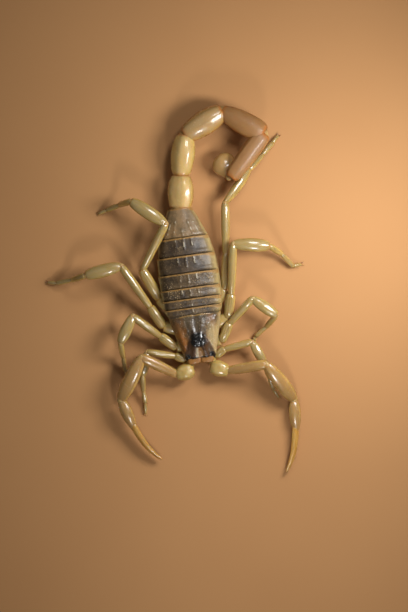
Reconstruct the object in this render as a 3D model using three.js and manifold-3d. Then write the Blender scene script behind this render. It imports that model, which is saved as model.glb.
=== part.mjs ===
// A slender-clawed desert scorpion at life size, resting with its tail curled flat to one side.
// Units are millimetres. +Z is up, the head points along -Y and the animal's left side is +X.
// The origin lies on the floor, under the middle of the trunk, on the flat where the belly rests.
//
// The skeleton is outside, so the animal is a chain of closed shells: every plate of the trunk,
// every ring of the tail and every article of a limb is a solid of its own, lofted through oval
// rings and parted from the shell before it by a thin cut.

import * as THREE from "three";
import { mergeVertices } from "three/addons/utils/BufferGeometryUtils.js";
import Module from "manifold-3d";

const wasm = await Module();
wasm.setup();

// ---------------------------------------------------------------- driving dimensions

const CUT = 0.3; // the open cut between one shell and the next
const EYE_CUT = 0.12; // the cut round an eye
const FLOOR_SINK = 0.12; // how far a resting sole reaches below the floor before it is made flat

const CARAPACE_REAR = -5.1; // where the carapace meets the first plate of the trunk
const CARAPACE_LENGTH = 6.4;
const CARAPACE_FLOOR = 2.1; // underside of the carapace
const CARAPACE_HALF_WIDTH = [
  // [part of the length from the rear edge, half width]
  [0, 3.95],
  [0.28, 3.5],
  [0.6, 2.85],
  [0.85, 2.35],
  [1, 2.15],
];
const CARAPACE_TOP = [
  [0, 4.15],
  [0.35, 4.15],
  [0.62, 4.05],
  [0.85, 3.45],
  [1, 2.95],
];

const EYE_RADIUS = 0.27;
const EYE_SPREAD = 0.5; // from the middle line to the centre of a median eye
const EYE_LINE = -8.75; // the median eyes' place along the body
const EYE_HEIGHT = 4.3;
const EYE_HUMP = { length: 2.2, width: 1.5, height: 0.9, centre: 3.95 };

const CHELICERA = { length: 1.6, width: 1.75, height: 1.3, spread: 1.02, heading: 4 };

// The limb bases under the fore-body: where each leg's base starts, and how the bases swell.
const COXA = { inner: 1.0, along: [-10.3, -8.9, -7.5, -6.2], lift: 0.9, height: 1.1, swell: 1.14 };

// Lengths of the seven plates along the back, from the carapace to the tail.
const TERGITE_LENGTHS = [1.1, 1.45, 1.8, 2.15, 2.6, 2.7, 4.4];
const TRUNK_HALF_WIDTH = [
  // [place along Y, half width at the edge of the back plates]
  [-5.1, 4.1],
  [-3.3, 4.55],
  [-1, 4.65],
  [1.5, 4.65],
  [3.5, 4.5],
  [4.9, 4.25],
  [6.5, 3.85],
  [7.8, 3.35],
  [9.5, 2.65],
  [10.7, 1.95],
  [11.1, 1.7],
];
const TRUNK_TOP = [
  [-5.1, 4.2],
  [-2, 4.7],
  [2, 4.8],
  [6, 4.5],
  [9, 4.1],
  [11.1, 3.6],
];
const TRUNK_BELLY = [
  // height of the underside: it clears the leg bases, rests flat, then rises to the tail
  [-5.1, 2],
  [-3.7, 1.75],
  [-2.2, 1.2],
  [-0.8, 0.6],
  [-0.5, -FLOOR_SINK],
  [7, -FLOOR_SINK],
  [9.5, 0.35],
  [11.1, 1],
];
const PLATE_FLARE = 0.035; // how much wider a back plate is at its rear edge

const PECTINE = {
  root: [0.55, -3.9],
  length: 4.6,
  heading: 150,
  blade: 1.3,
  teeth: 8,
  thick: 0.5,
  lift: 0.3,
};

// The tail's five rings, from the trunk out. heading is the turn from -Y towards +X, width is
// across the ring, height from its underside to its back, and roll turns its back towards +X.
const TAIL_ROOT = [0.1, 11.2, 2.35];
const TAIL = [
  { length: 4.8, heading: 171, rise: 0.15, width: 4.0, height: 3.2, roll: 30 },
  { length: 6.05, heading: 166, rise: 0.3, width: 3.6, height: 3.3, roll: 50 },
  { length: 6.6, heading: 114, rise: 0.6, width: 3.4, height: 3.4, roll: 70 },
  { length: 6.75, heading: 52, rise: 0.75, width: 3.3, height: 3.4, roll: 85 },
  { length: 7.9, heading: -41, rise: 0.1, width: 2.55, height: 2.5, roll: 90 },
];
const VESICLE = { root: [8.1, 14.55, 3.3], bulge: [6.95, 16.5, 2.05], end: [9.0, 17.85, 1.95], width: 3.15 };
const STING = {
  path: [
    [9.1, 17.8, 1.95],
    [10.4, 17.95, 1.75],
    [11.5, 18.35, 1.8],
    [12.3, 18.9, 2.1],
  ],
  width: 0.85,
};

// Walking legs from the front pair back. Each has seven joints: hip, trochanter, knee, patella,
// tibia, basitarsus and tip; lengths run between them. thick is each article's width.
const LEG_PAIRS = [
  {
    hip: [2.35, -11.35],
    lengths: [1.5, 4.4, 3.55, 2.6, 1.95, 1.75],
    thick: [1.25, 1.1, 1.4, 0.9, 0.72, 0.6],
  },
  {
    hip: [3.5, -9.25],
    lengths: [2.75, 5.45, 4.3, 3.05, 2.4, 1.4],
    thick: [1.4, 1.2, 1.6, 0.95, 0.75, 0.6],
  },
  {
    hip: [4.9, -5.9],
    lengths: [3.4, 7.8, 5.4, 3.05, 2.75, 1.5],
    thick: [1.5, 1.3, 1.8, 1.05, 0.82, 0.62],
  },
  {
    hip: [5.0, -1.6],
    lengths: [5.0, 7.9, 6.1, 3.2, 2.5, 1.5],
    thick: [1.6, 1.3, 1.85, 1.05, 0.82, 0.62],
  },
];
const PATELLA_FLATNESS = 0.76; // a walking leg's patella is this much thinner than it is wide
const LEG_POSES = {
  // headings turn from straight ahead towards the leg's own side, in degrees; heights are the joints';
  // twist turns the flattened patella about its length
  left: [
    { headings: [121, 97, 22, 12, 12, 23], heights: [1.5, 1.7, 2.5, 2.4, 1.2, 0.55, 0.2] },
    { headings: [148, 130, 47, -47, -56, -31], heights: [1.5, 2.1, 3.9, 3.8, 1.7, 0.65, 0.2] },
    { headings: [164, 170, 79, 50, 36, 95], heights: [1.5, 2.2, 4.1, 4.0, 1.9, 0.7, 0.2] },
    { headings: [170, 173, 136, 131, 131, 135], heights: [1.4, 1.9, 3.0, 2.2, 1.15, 0.55, 0.2], twist: 75 },
  ],
  right: [
    { headings: [121, 106, 19, 6, -1, 7], heights: [1.5, 1.7, 2.5, 2.4, 1.2, 0.55, 0.2] },
    { headings: [134, 134, 33, -1, 0, -4], heights: [1.5, 2.1, 3.9, 3.8, 1.7, 0.65, 0.2] },
    { headings: [154, 153, 83, 81, 87, 102], heights: [1.5, 2.2, 4.1, 4.0, 1.9, 0.7, 0.2] },
    { headings: [158, 215, 131, 85, 77, 76], heights: [1.4, 3.0, 4.9, 4.7, 2.0, 0.65, 0.2] },
  ],
};

// Pedipalps: trochanter, femur, patella, hand, and the fingers in two lengths.
const PEDIPALP = {
  root: [1.45, -12.95],
  lengths: [2.4, 6.3, 7.3, 4.5, 3.4, 3.25],
  thick: [1.95, 1.6, 2.25, 1.95, 0.62, 0.5],
};
const PEDIPALP_POSES = {
  left: { headings: [69, 92, 30, -4, -13, -27], heights: [1.9, 2.1, 4.4, 1.6, 1.25, 1.1, 0.9] },
  right: { headings: [81, 124, 34, -16, -25, -40], heights: [1.9, 2.1, 4.4, 2.4, 1.8, 1.4, 0.95] },
};
const FINGER_APART = 0.36; // from the closed fingers' shared line to each finger's own

// Lengthwise shapes: [part of the length, part of the full width].
const SPINDLE = [
  [0, 0.46],
  [0.1, 0.8],
  [0.42, 1],
  [0.8, 0.9],
  [1, 0.46],
];
const BARREL = [
  [0, 0.56],
  [0.1, 0.86],
  [0.5, 1],
  [0.88, 0.9],
  [1, 0.58],
];
const ROD = [
  [0, 0.66],
  [0.12, 0.92],
  [0.9, 1],
  [1, 0.7],
];
const DROP = [
  [0, 0.3],
  [0.1, 0.48],
  [0.28, 0.88],
  [0.52, 1],
  [0.78, 0.8],
  [0.94, 0.45],
  [1, 0.3],
];
const TAPER = [
  [0, 1],
  [0.5, 0.92],
  [0.85, 0.8],
  [1, 0.55],
];

const COLOURS = {
  dark_plate: [0x4b4137, 0.35],
  head_plate: [0x6f5336, 0.35],
  tail_shell: [0xb99a68, 0.25],
  leg_shell: [0xd3c48a, 0.3],
  claw_shell: [0xc0a070, 0.3],
  sting: [0x4a2a14, 0.25],
  eye: [0x0a0908, 0.1],
};

// ---------------------------------------------------------------- geometry helpers

const UP = new THREE.Vector3(0, 0, 1);
const radians = THREE.MathUtils.degToRad;
const vector = (place) => new THREE.Vector3(...place);

/** The value of a table of [place, value] pairs at one place, straight between its entries. */
function between(table, at) {
  const next = table.findIndex(([place]) => place >= at);
  if (next === 0) return table[0][1];
  if (next < 0) return table[table.length - 1][1];
  const [from, low] = table[next - 1];
  const [to, high] = table[next];
  return low + ((high - low) * (at - from)) / (to - from);
}

/** One closed oval of points: a superellipse with its own heights above and below its centre. */
function ring({ at, across, up, half, high, low, sides, power = 2 }) {
  const bend = (value) => Math.sign(value) * Math.abs(value) ** (2 / power);
  return Array.from({ length: sides }, (_, i) => {
    const turn = (2 * Math.PI * (i + 0.5)) / sides;
    const lift = bend(Math.sin(turn)) * (Math.sin(turn) > 0 ? high : low);
    return at
      .clone()
      .addScaledVector(across, half * bend(Math.cos(turn)))
      .addScaledVector(up, lift);
  });
}

/** A closed body through rings of equally many points, the end rings filled flat. */
function loft(rings) {
  const sides = rings[0].length;
  const points = rings.flat();
  const index = [];
  for (let r = 0; r + 1 < rings.length; r++)
    for (let i = 0; i < sides; i++) {
      const a = r * sides + i;
      const b = r * sides + ((i + 1) % sides);
      index.push(a, b, b + sides, a, b + sides, a + sides);
    }
  const last = (rings.length - 1) * sides;
  for (let i = 1; i + 1 < sides; i++) {
    index.push(0, i + 1, i);
    index.push(last, last + i, last + i + 1);
  }
  const geometry = new THREE.BufferGeometry().setFromPoints(points);
  geometry.setIndex(index);
  return solid(geometry);
}

/** A three.js geometry as a solid that can be joined and cut. */
function solid(geometry) {
  const bare = geometry.clone();
  bare.deleteAttribute("normal");
  bare.deleteAttribute("uv");
  const merged = mergeVertices(bare, 1e-4);
  const made = new wasm.Manifold(
    new wasm.Mesh({
      numProp: 3,
      vertProperties: new Float32Array(merged.attributes.position.array),
      triVerts: new Uint32Array(merged.index.array),
    }),
  );
  if (made.volume() >= 0) return made;
  const turned = merged.index.array.slice().reverse();
  merged.setIndex(new THREE.BufferAttribute(turned, 1));
  return solid(merged);
}

const join = (solids) => solids.reduce((all, one) => all.add(one));
const cut = (body, tools) => tools.reduce((rest, tool) => rest.subtract(tool), body);

/** A body swept along a line of points, with an oval section that follows a lengthwise shape. */
function sweep({ points, shape, width, height = width, roll = 0, grow = 0, sides = 8, power = 2 }) {
  const line = new THREE.CurvePath();
  for (let i = 0; i + 1 < points.length; i++) line.add(new THREE.LineCurve3(points[i], points[i + 1]));
  const length = line.getLength();
  const rings = shape.map(([part, size]) => {
    const tangent = line
      .getPointAt(Math.min(part + 0.12, 1))
      .sub(line.getPointAt(Math.max(part - 0.12, 0)))
      .normalize();
    const across = new THREE.Vector3().crossVectors(tangent, UP).normalize();
    across.applyAxisAngle(tangent, radians(roll));
    const up = new THREE.Vector3().crossVectors(across, tangent);
    const end = part === 0 ? -grow : part === 1 ? grow : 0;
    const at = line.getPointAt(part).addScaledVector(tangent, end);
    const half = (size * width) / 2 + grow;
    const high = (size * height) / 2 + grow;
    return ring({ at, across, up, half, high, low: high, sides, power });
  });
  if (length < CUT) throw new Error("a swept body is too short to part");
  return loft(rings);
}

/** A body swept straight from one joint to the next. */
const article = (from, to, shape, width, more = {}) => sweep({ points: [from, to], shape, width, ...more });

/** The joints of a limb: each length runs at its heading and lands at the next joint's height. */
function joints(side, root, lengths, { headings, heights }) {
  const mirror = side === "left" ? 1 : -1;
  const places = [new THREE.Vector3(mirror * root[0], root[1], heights[0])];
  lengths.forEach((length, i) => {
    const drop = heights[i + 1] - heights[i];
    const run = Math.sqrt(length ** 2 - drop ** 2);
    const turn = radians(headings[i]);
    places.push(
      places[i].clone().add(new THREE.Vector3(mirror * run * Math.sin(turn), -run * Math.cos(turn), drop)),
    );
  });
  return places;
}

/** Everything below the floor, to cut soles and belly flat. */
const belowFloor = solid(new THREE.BoxGeometry(90, 90, 2).translate(0, 0, -1));

/** A named mesh in place: its own origin is the joint that it hangs from. */
function piece(name, body, colour, anchor) {
  const { vertProperties, triVerts } = body.getMesh();
  const geometry = new THREE.BufferGeometry();
  geometry.setAttribute("position", new THREE.Float32BufferAttribute(vertProperties, 3));
  geometry.setIndex(new THREE.BufferAttribute(new Uint32Array(triVerts), 1));
  geometry.translate(-anchor.x, -anchor.y, -anchor.z);
  const [color, roughness] = COLOURS[colour];
  const material = new THREE.MeshStandardMaterial({ color, roughness, metalness: 0, flatShading: true });
  const mesh = new THREE.Mesh(geometry, material);
  mesh.name = name;
  mesh.position.copy(anchor);
  return mesh;
}

/** A group that holds one region of the body. */
function region(name, meshes) {
  const group = new THREE.Group();
  group.name = name;
  group.add(...meshes);
  return group;
}

// ---------------------------------------------------------------- the fore-body

/** The shield over the fore-body, a flat-bottomed vault that narrows to the front. */
function carapaceBody(grow = 0) {
  const centre = CARAPACE_FLOOR + 0.35;
  const rings = [0.02, 0.28, 0.6, 0.82, 1].map((part) => {
    const end = part === 0.02 ? grow : part === 1 ? -grow : 0;
    return ring({
      at: new THREE.Vector3(0, CARAPACE_REAR - CARAPACE_LENGTH * part + end, centre),
      across: new THREE.Vector3(1, 0, 0),
      up: UP,
      half: between(CARAPACE_HALF_WIDTH, part) + grow,
      high: between(CARAPACE_TOP, part) - centre + grow,
      low: centre - CARAPACE_FLOOR + grow,
      sides: 12,
      power: 2.3,
    });
  });
  const hump = new THREE.SphereGeometry(1, 8, 6)
    .scale(EYE_HUMP.width / 2, EYE_HUMP.length / 2, EYE_HUMP.height / 2)
    .translate(0, EYE_LINE + 0.15, EYE_HUMP.centre);
  return join([loft(rings), solid(hump)]);
}

/** One of the two large eyes on the hump of the carapace. */
function eyeBody(mirror, grow = 0) {
  const ball = new THREE.SphereGeometry(EYE_RADIUS + grow, 8, 5);
  return solid(ball.translate(mirror * EYE_SPREAD, EYE_LINE, EYE_HEIGHT));
}

/** A jaw under the front edge of the carapace: a short bulb that ends in its two small fingers. */
function cheliceraBody(mirror) {
  const front = CARAPACE_REAR - CARAPACE_LENGTH;
  const from = new THREE.Vector3(mirror * CHELICERA.spread, front + 0.25, 2.4);
  const turn = radians(CHELICERA.heading);
  const reach = new THREE.Vector3(-mirror * Math.sin(turn), -Math.cos(turn), -0.1);
  const to = from.clone().addScaledVector(reach, CHELICERA.length);
  const bulb = article(from, to, BARREL, CHELICERA.width, { height: CHELICERA.height });
  return cut(bulb, [carapaceBody(CUT), coxosternumBody(CUT)]);
}

/** The underside of the fore-body: breast plate and the bases of all ten limbs. */
function coxosternumBody(grow = 0) {
  const rear = new THREE.Vector3(0, CARAPACE_REAR - 0.3, COXA.lift);
  const front = new THREE.Vector3(0, CARAPACE_REAR - CARAPACE_LENGTH - 0.1, COXA.lift + 0.15);
  const middle = article(rear, front, BARREL, 3.4, { height: COXA.height, grow, sides: 6 });
  const bases = ["left", "right"].flatMap((side) => {
    const mirror = side === "left" ? 1 : -1;
    const legs = LEG_PAIRS.map(({ hip, thick }, i) => {
      const inner = new THREE.Vector3(mirror * COXA.inner, COXA.along[i], COXA.lift);
      const outer = new THREE.Vector3(mirror * hip[0], hip[1], LEG_POSES[side][i].heights[0]);
      return article(inner, outer, ROD, thick[0] * COXA.swell, { height: COXA.height, grow, sides: 6 });
    });
    const arm = article(
      new THREE.Vector3(mirror * 0.8, -10.8, 1.15),
      new THREE.Vector3(mirror * PEDIPALP.root[0], PEDIPALP.root[1] + 0.1, 1.65),
      ROD,
      1.5,
      { height: COXA.height, grow, sides: 6 },
    );
    return [...legs, arm];
  });
  return join([middle, ...bases]);
}

// ---------------------------------------------------------------- the trunk

/** One length of the trunk, back plate, flank and belly plate together. */
function trunkBody(from, to, grow = 0) {
  const steps = to - from > 3 ? [0, 0.25, 0.5, 0.72, 0.9, 1] : [0, 0.5, 1];
  const rings = steps.map((part) => {
    const along = from + (to - from) * part;
    const belly = between(TRUNK_BELLY, along);
    const centre = Math.max(2.15, belly + 1);
    const end = part === 0 ? -grow : part === 1 ? grow : 0;
    return ring({
      at: new THREE.Vector3(0, along + end, centre),
      across: new THREE.Vector3(1, 0, 0),
      up: UP,
      half: between(TRUNK_HALF_WIDTH, along) * (1 - PLATE_FLARE * (1 - part)) + grow,
      high: between(TRUNK_TOP, along) * (1 - PLATE_FLARE * (1 - part)) - centre + grow,
      low: centre - belly + grow,
      sides: 14,
      power: 2.25,
    });
  });
  return loft(rings);
}

/** Where each length of the trunk starts and ends along Y. */
function trunkSpans() {
  let edge = CARAPACE_REAR;
  return TERGITE_LENGTHS.map((length) => {
    const from = edge;
    edge += length;
    return [from + CUT / 2, edge - CUT / 2];
  });
}

/** A comb on the underside, behind the leg bases: a flat blade with a toothed rear edge. */
function pectineBody(mirror, grow = 0) {
  const { length, blade, teeth, thick, lift } = PECTINE;
  const outline = new THREE.Shape();
  outline.moveTo(-grow, grow);
  if (grow) {
    outline.lineTo(-grow, -blade - grow);
    outline.lineTo(length + grow, -blade * 0.65 - grow);
  } else {
    const step = length / teeth;
    for (let i = 0; i < teeth; i++) {
      const reach = blade * (1 - (0.35 * i) / teeth);
      outline.lineTo(step * i, -reach * 0.55);
      outline.lineTo(step * (i + 0.2), -reach);
      outline.lineTo(step * (i + 0.8), -reach);
    }
    outline.lineTo(length, -blade * 0.36);
  }
  outline.lineTo(length + grow, grow);
  const comb = new THREE.ExtrudeGeometry(outline, { depth: thick + 2 * grow, bevelEnabled: false });
  comb.translate(0, 0, lift - grow);
  comb.rotateZ(radians(PECTINE.heading - 90));
  comb.scale(mirror, 1, 1);
  comb.translate(mirror * PECTINE.root[0], PECTINE.root[1], 0);
  return solid(comb);
}

// ---------------------------------------------------------------- the tail

/** The joints of the tail, from the trunk to the end of its fifth ring. */
function tailJoints() {
  const places = [vector(TAIL_ROOT)];
  for (const { length, heading, rise } of TAIL) {
    const run = Math.sqrt(length ** 2 - rise ** 2);
    const turn = radians(heading);
    const step = new THREE.Vector3(run * Math.sin(turn), -run * Math.cos(turn), rise);
    places.push(places[places.length - 1].clone().add(step));
  }
  return places;
}

/** One ring of the tail. */
function tailBody(places, i, grow = 0) {
  const { width, height, roll } = TAIL[i];
  return article(places[i], places[i + 1], BARREL, width, { height, roll: -roll, grow, sides: 10 });
}

/** The poison bulb, folded back against the inside of the last ring. */
function vesicleBody(grow = 0) {
  const points = [VESICLE.root, VESICLE.bulge, VESICLE.end].map(vector);
  return sweep({ points, shape: DROP, width: VESICLE.width, height: VESICLE.width * 0.9, grow, sides: 10 });
}

/** The hooked sting, tucked under the last ring. */
function stingBody() {
  const points = STING.path.map(vector);
  return sweep({ points, shape: TAPER, width: STING.width, sides: 8 });
}

// ---------------------------------------------------------------- the limbs

/** One walking leg as three solids: thigh, patella and foot. */
function legBodies(side, i) {
  const { hip, lengths, thick } = LEG_PAIRS[i];
  const pose = LEG_POSES[side][i];
  const at = joints(side, hip, lengths, pose);
  const thigh = (grow = 0) =>
    join([
      article(at[0], at[1], ROD, thick[0], { grow, sides: 7 }),
      article(at[1], at[2], SPINDLE, thick[1], { grow, sides: 7 }),
    ]);
  const patella = (grow = 0) =>
    article(at[2], at[3], SPINDLE, thick[2], {
      height: thick[2] * PATELLA_FLATNESS,
      roll: pose.twist ?? 0,
      grow,
      sides: 9,
    });
  const foot = join([
    article(at[3], at[4], ROD, thick[3], { sides: 6 }),
    article(at[4], at[5], ROD, thick[4], { sides: 6 }),
    article(at[5], at[6], ROD, thick[5], { sides: 6 }),
  ]);
  return { at, thigh, patella, foot };
}

/** One pedipalp as five solids: trochanter, femur, patella, hand with fixed finger, free finger. */
function pedipalpBodies(side) {
  const mirror = side === "left" ? 1 : -1;
  const { root, lengths, thick } = PEDIPALP;
  const at = joints(side, root, lengths, PEDIPALP_POSES[side]);
  const trochanter = (grow = 0) => article(at[0], at[1], BARREL, thick[0], { grow, sides: 10 });
  const femur = (grow = 0) => article(at[1], at[2], ROD, thick[1], { grow, sides: 10 });
  const patella = (grow = 0) =>
    article(at[2], at[3], SPINDLE, thick[2], { height: thick[2] * 0.9, grow, sides: 10 });
  const palm = (grow = 0) =>
    article(at[3], at[4], BARREL, thick[3], { height: thick[3] * 0.95, grow, sides: 10 });
  const shift = new THREE.Vector3(-mirror * 0.1, 0, FINGER_APART);
  const back = at[4].clone().lerp(at[3], 0.12);
  const fixedFinger = [back, at[5], at[6]].map((place) => place.clone().add(shift));
  const freeFinger = [back, at[5], at[6]].map((place) => place.clone().sub(shift));
  const fixed = sweep({ points: fixedFinger, shape: TAPER, width: thick[4] });
  const free = sweep({ points: freeFinger, shape: TAPER, width: thick[4] });
  return { at, trochanter, femur, patella, palm, hand: join([palm(), fixed]), fixed, free };
}

// ---------------------------------------------------------------- assembly

const SIDES = ["left", "right"];
const scorpion = new THREE.Group();
scorpion.name = "scorpion";

const eyes = { left: 1, right: -1 };
const legs = SIDES.flatMap((side) => LEG_PAIRS.map((_, i) => ({ side, i, ...legBodies(side, i) })));
const palps = SIDES.map((side) => ({ side, ...pedipalpBodies(side) }));
const coxosternum = cut(coxosternumBody(), [carapaceBody(CUT), belowFloor]);

const headFront = new THREE.Vector3(0, CARAPACE_REAR - CARAPACE_LENGTH, CARAPACE_FLOOR);
scorpion.add(
  region("prosoma", [
    piece(
      "carapace",
      cut(
        carapaceBody(),
        SIDES.map((side) => eyeBody(eyes[side], EYE_CUT)),
      ),
      "head_plate",
      new THREE.Vector3(0, CARAPACE_REAR, CARAPACE_FLOOR),
    ),
    ...SIDES.map((side) =>
      piece(`eye_median_${side}`, eyeBody(eyes[side]), "eye", new THREE.Vector3(0, EYE_LINE, EYE_HEIGHT)),
    ),
    ...SIDES.map((side) => piece(`chelicera_${side}`, cheliceraBody(eyes[side]), "claw_shell", headFront)),
    piece("coxosternum", coxosternum, "leg_shell", new THREE.Vector3(0, CARAPACE_REAR, 0)),
  ]),
);

const spans = trunkSpans();
const underParts = [
  coxosternumBody(CUT),
  ...SIDES.map((side) => pectineBody(eyes[side], CUT)),
  ...legs.filter(({ i }) => i >= 2).map(({ thigh }) => thigh(CUT)),
  belowFloor,
];
scorpion.add(
  region("mesosoma", [
    ...spans.map(([from, to], i) => {
      const body = cut(trunkBody(from, to), underParts);
      return piece(`mesosoma_${i + 1}`, body, "dark_plate", new THREE.Vector3(0, from, 0));
    }),
    ...SIDES.map((side) =>
      piece(
        `pectine_${side}`,
        cut(pectineBody(eyes[side]), [coxosternumBody(CUT)]),
        "leg_shell",
        new THREE.Vector3(eyes[side] * PECTINE.root[0], PECTINE.root[1], PECTINE.lift),
      ),
    ),
  ]),
);

const tail = tailJoints();
const lastSpan = spans[spans.length - 1];
const vesicle = cut(vesicleBody(), [tailBody(tail, 4, CUT)]);
const sting = cut(stingBody(), [vesicleBody(CUT), tailBody(tail, 4, CUT)]);
scorpion.add(
  region("metasoma", [
    ...TAIL.map((_, i) => {
      const before = i === 0 ? trunkBody(...lastSpan, CUT) : tailBody(tail, i - 1, CUT);
      return piece(`metasoma_${i + 1}`, cut(tailBody(tail, i), [before]), "tail_shell", tail[i]);
    }),
    piece("telson_vesicle", vesicle, "tail_shell", vector(VESICLE.root)),
    piece("telson_sting", sting, "sting", vector(STING.path[0])),
  ]),
);

for (const { side, at, trochanter, femur, patella, palm, hand, fixed, free } of palps)
  scorpion.add(
    region(`pedipalp_${side}`, [
      piece(
        `pedipalp_${side}_trochanter`,
        cut(trochanter(), [coxosternumBody(CUT), carapaceBody(CUT), cheliceraBody(eyes[side])]),
        "claw_shell",
        at[0],
      ),
      piece(`pedipalp_${side}_femur`, cut(femur(), [trochanter(CUT)]), "claw_shell", at[1]),
      piece(`pedipalp_${side}_patella`, cut(patella(), [femur(CUT)]), "claw_shell", at[2]),
      piece(`pedipalp_${side}_hand`, cut(hand, [patella(CUT)]), "claw_shell", at[3]),
      piece(`pedipalp_${side}_finger`, cut(free, [palm(CUT), fixed]), "claw_shell", at[4]),
    ]),
  );

for (const { side, i, at, thigh, patella, foot } of legs) {
  const leg = `leg_${side}_${i + 1}`;
  scorpion.add(
    region(leg, [
      piece(`${leg}_thigh`, cut(thigh(), [coxosternumBody(CUT), carapaceBody(CUT)]), "leg_shell", at[0]),
      piece(`${leg}_patella`, cut(patella(), [thigh(CUT)]), "leg_shell", at[2]),
      piece(`${leg}_foot`, cut(foot, [patella(CUT), belowFloor]), "leg_shell", at[3]),
    ]),
  );
}

export default scorpion;
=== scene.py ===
"""A slender-clawed desert scorpion at life size, as a still museum model.

It rests with its tail curled flat to one side. The head points along -Y, the back is up, and the
animal's left side is +X. Every shell is modelled at one unit to the millimetre with its nose along
+Y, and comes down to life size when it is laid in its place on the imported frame.
"""

import sys

import logging
import math
import random
from collections.abc import Callable, Iterable, Sequence
from dataclasses import dataclass, field
from enum import Enum
from itertools import pairwise

import bpy
from mathutils import Matrix, Vector


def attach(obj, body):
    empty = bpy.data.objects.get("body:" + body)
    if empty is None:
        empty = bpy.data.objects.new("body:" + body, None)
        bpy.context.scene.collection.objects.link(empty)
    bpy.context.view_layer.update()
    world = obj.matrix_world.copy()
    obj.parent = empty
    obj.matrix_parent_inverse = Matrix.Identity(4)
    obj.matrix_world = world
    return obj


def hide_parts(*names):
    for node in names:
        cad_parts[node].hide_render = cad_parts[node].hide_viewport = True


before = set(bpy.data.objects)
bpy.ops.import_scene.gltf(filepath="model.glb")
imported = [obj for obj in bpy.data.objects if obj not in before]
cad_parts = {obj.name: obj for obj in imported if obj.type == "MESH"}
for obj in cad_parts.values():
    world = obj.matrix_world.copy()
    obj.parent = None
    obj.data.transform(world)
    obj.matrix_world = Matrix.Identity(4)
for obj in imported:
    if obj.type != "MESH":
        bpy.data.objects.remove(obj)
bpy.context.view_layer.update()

log = logging.getLogger("scorpion")

MM = 0.001
FLOOR_GAP = 0.03  # how close the soles and the belly come to the floor, in millimetres
TALLEST = 5.45  # nothing stands higher than this, in millimetres
UP = Vector((0, 0, 1))
SOFT_EDIT = {"use_proportional_edit": True, "proportional_edit_falloff": "SMOOTH"}
SIDES = ((1, "left"), (-1, "right"))
SHARP_TURN = 50  # degrees; edges turned more than this stay sharp
BAKE_MAP = "OFBake"
TUFT_PATCH = 0.003  # the size of one tuft's patch on the bake map
Spot = tuple[float, float]
Table = Sequence[Spot]  # places and values, or the corners of a line as across and along
Triple = tuple[float, float, float]
Colour = tuple[int, int, int]  # red, green and blue on a screen, 0 to 255
Keels = tuple[Spot, ...]  # turns round a shell in degrees, 90 its back, and how far each stands out


def between(table: Table, at: float) -> float:
    """Reads a table of places and values at one place.

    Args:
        table: Pairs of place and value, places rising.
        at: The place to read.

    Returns:
        The value there, straight between the entries.
    """
    if at <= table[0][0]:
        return table[0][1]
    for (low, from_value), (high, to_value) in pairwise(table):
        if at <= high:
            return from_value + (to_value - from_value) * (at - low) / (high - low)
    return table[-1][1]


def tint(colour: Colour) -> tuple[float, ...]:
    """Turns a screen colour into the linear colour, with its alpha, that shaders mix."""
    channels = [value / 255 for value in colour]
    linear = [c / 12.92 if c <= 0.04045 else ((c + 0.055) / 1.055) ** 2.4 for c in channels]
    return (*linear, 1.0)


# ---------------------------------------------------------------- mixing finishes


class Wire:
    """One output of a shader node. Sums written on it become Math nodes."""

    def __init__(self, recipe: "Recipe", socket: bpy.types.NodeSocket) -> None:
        """Keeps the socket and the recipe that it belongs to."""
        self.recipe = recipe
        self.socket = socket

    def _sum(self, operation: str, first: "Wire | float", second: "Wire | float") -> "Wire":
        """Adds one Math node on two values."""
        return self.recipe.node("ShaderNodeMath", {"operation": operation}, {0: first, 1: second})

    def __add__(self, other: "Wire | float") -> "Wire":
        """Adds two values."""
        return self._sum("ADD", self, other)

    def __sub__(self, other: "Wire | float") -> "Wire":
        """Takes the other value from this one."""
        return self._sum("SUBTRACT", self, other)

    def __mul__(self, other: "Wire | float") -> "Wire":
        """Multiplies two values."""
        return self._sum("MULTIPLY", self, other)

    def __radd__(self, other: float) -> "Wire":
        """Adds this value to a number."""
        return self._sum("ADD", other, self)

    def __rsub__(self, other: float) -> "Wire":
        """Takes this value from a number."""
        return self._sum("SUBTRACT", other, self)

    def __abs__(self) -> "Wire":
        """The value without its sign."""
        return self._sum("ABSOLUTE", self, 0.0)

    def least(self, other: "Wire | float") -> "Wire":
        """The smaller of two values."""
        return self._sum("MINIMUM", self, other)

    def most(self, other: "Wire | float") -> "Wire":
        """The larger of two values."""
        return self._sum("MAXIMUM", self, other)

    def ramp(self, low: float, high: float) -> "Wire":
        """Rises smoothly from 0 at one value to 1 at the other, or falls if low is the larger.

        Args:
            low: The value where the mask is 0.
            high: The value where the mask is 1.

        Returns:
            The mask.
        """
        turned = low > high
        settings = {"interpolation_type": "SMOOTHSTEP"}
        ends = {"From Min": min(low, high), "From Max": max(low, high), "Value": self}
        ends |= {"To Min": 1.0, "To Max": 0.0} if turned else {"To Min": 0.0, "To Max": 1.0}
        return self.recipe.node("ShaderNodeMapRange", settings, ends)


@dataclass(frozen=True)
class Depth:
    """What a finish has all over: how light sinks into it, in millimetres, and its clear coat."""

    flesh: float
    reach: float
    coat: float
    coat_rough: float
    spread: Triple = (1.0, 0.5, 0.2)

    def sockets(self) -> dict[str, float | Triple]:
        """The values by the shader's sockets."""
        return {
            "Subsurface Weight": self.flesh,
            "Subsurface Radius": self.spread,
            "Subsurface Scale": self.reach * MM,
            "Coat Weight": self.coat,
            "Coat Roughness": self.coat_rough,
        }


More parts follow.
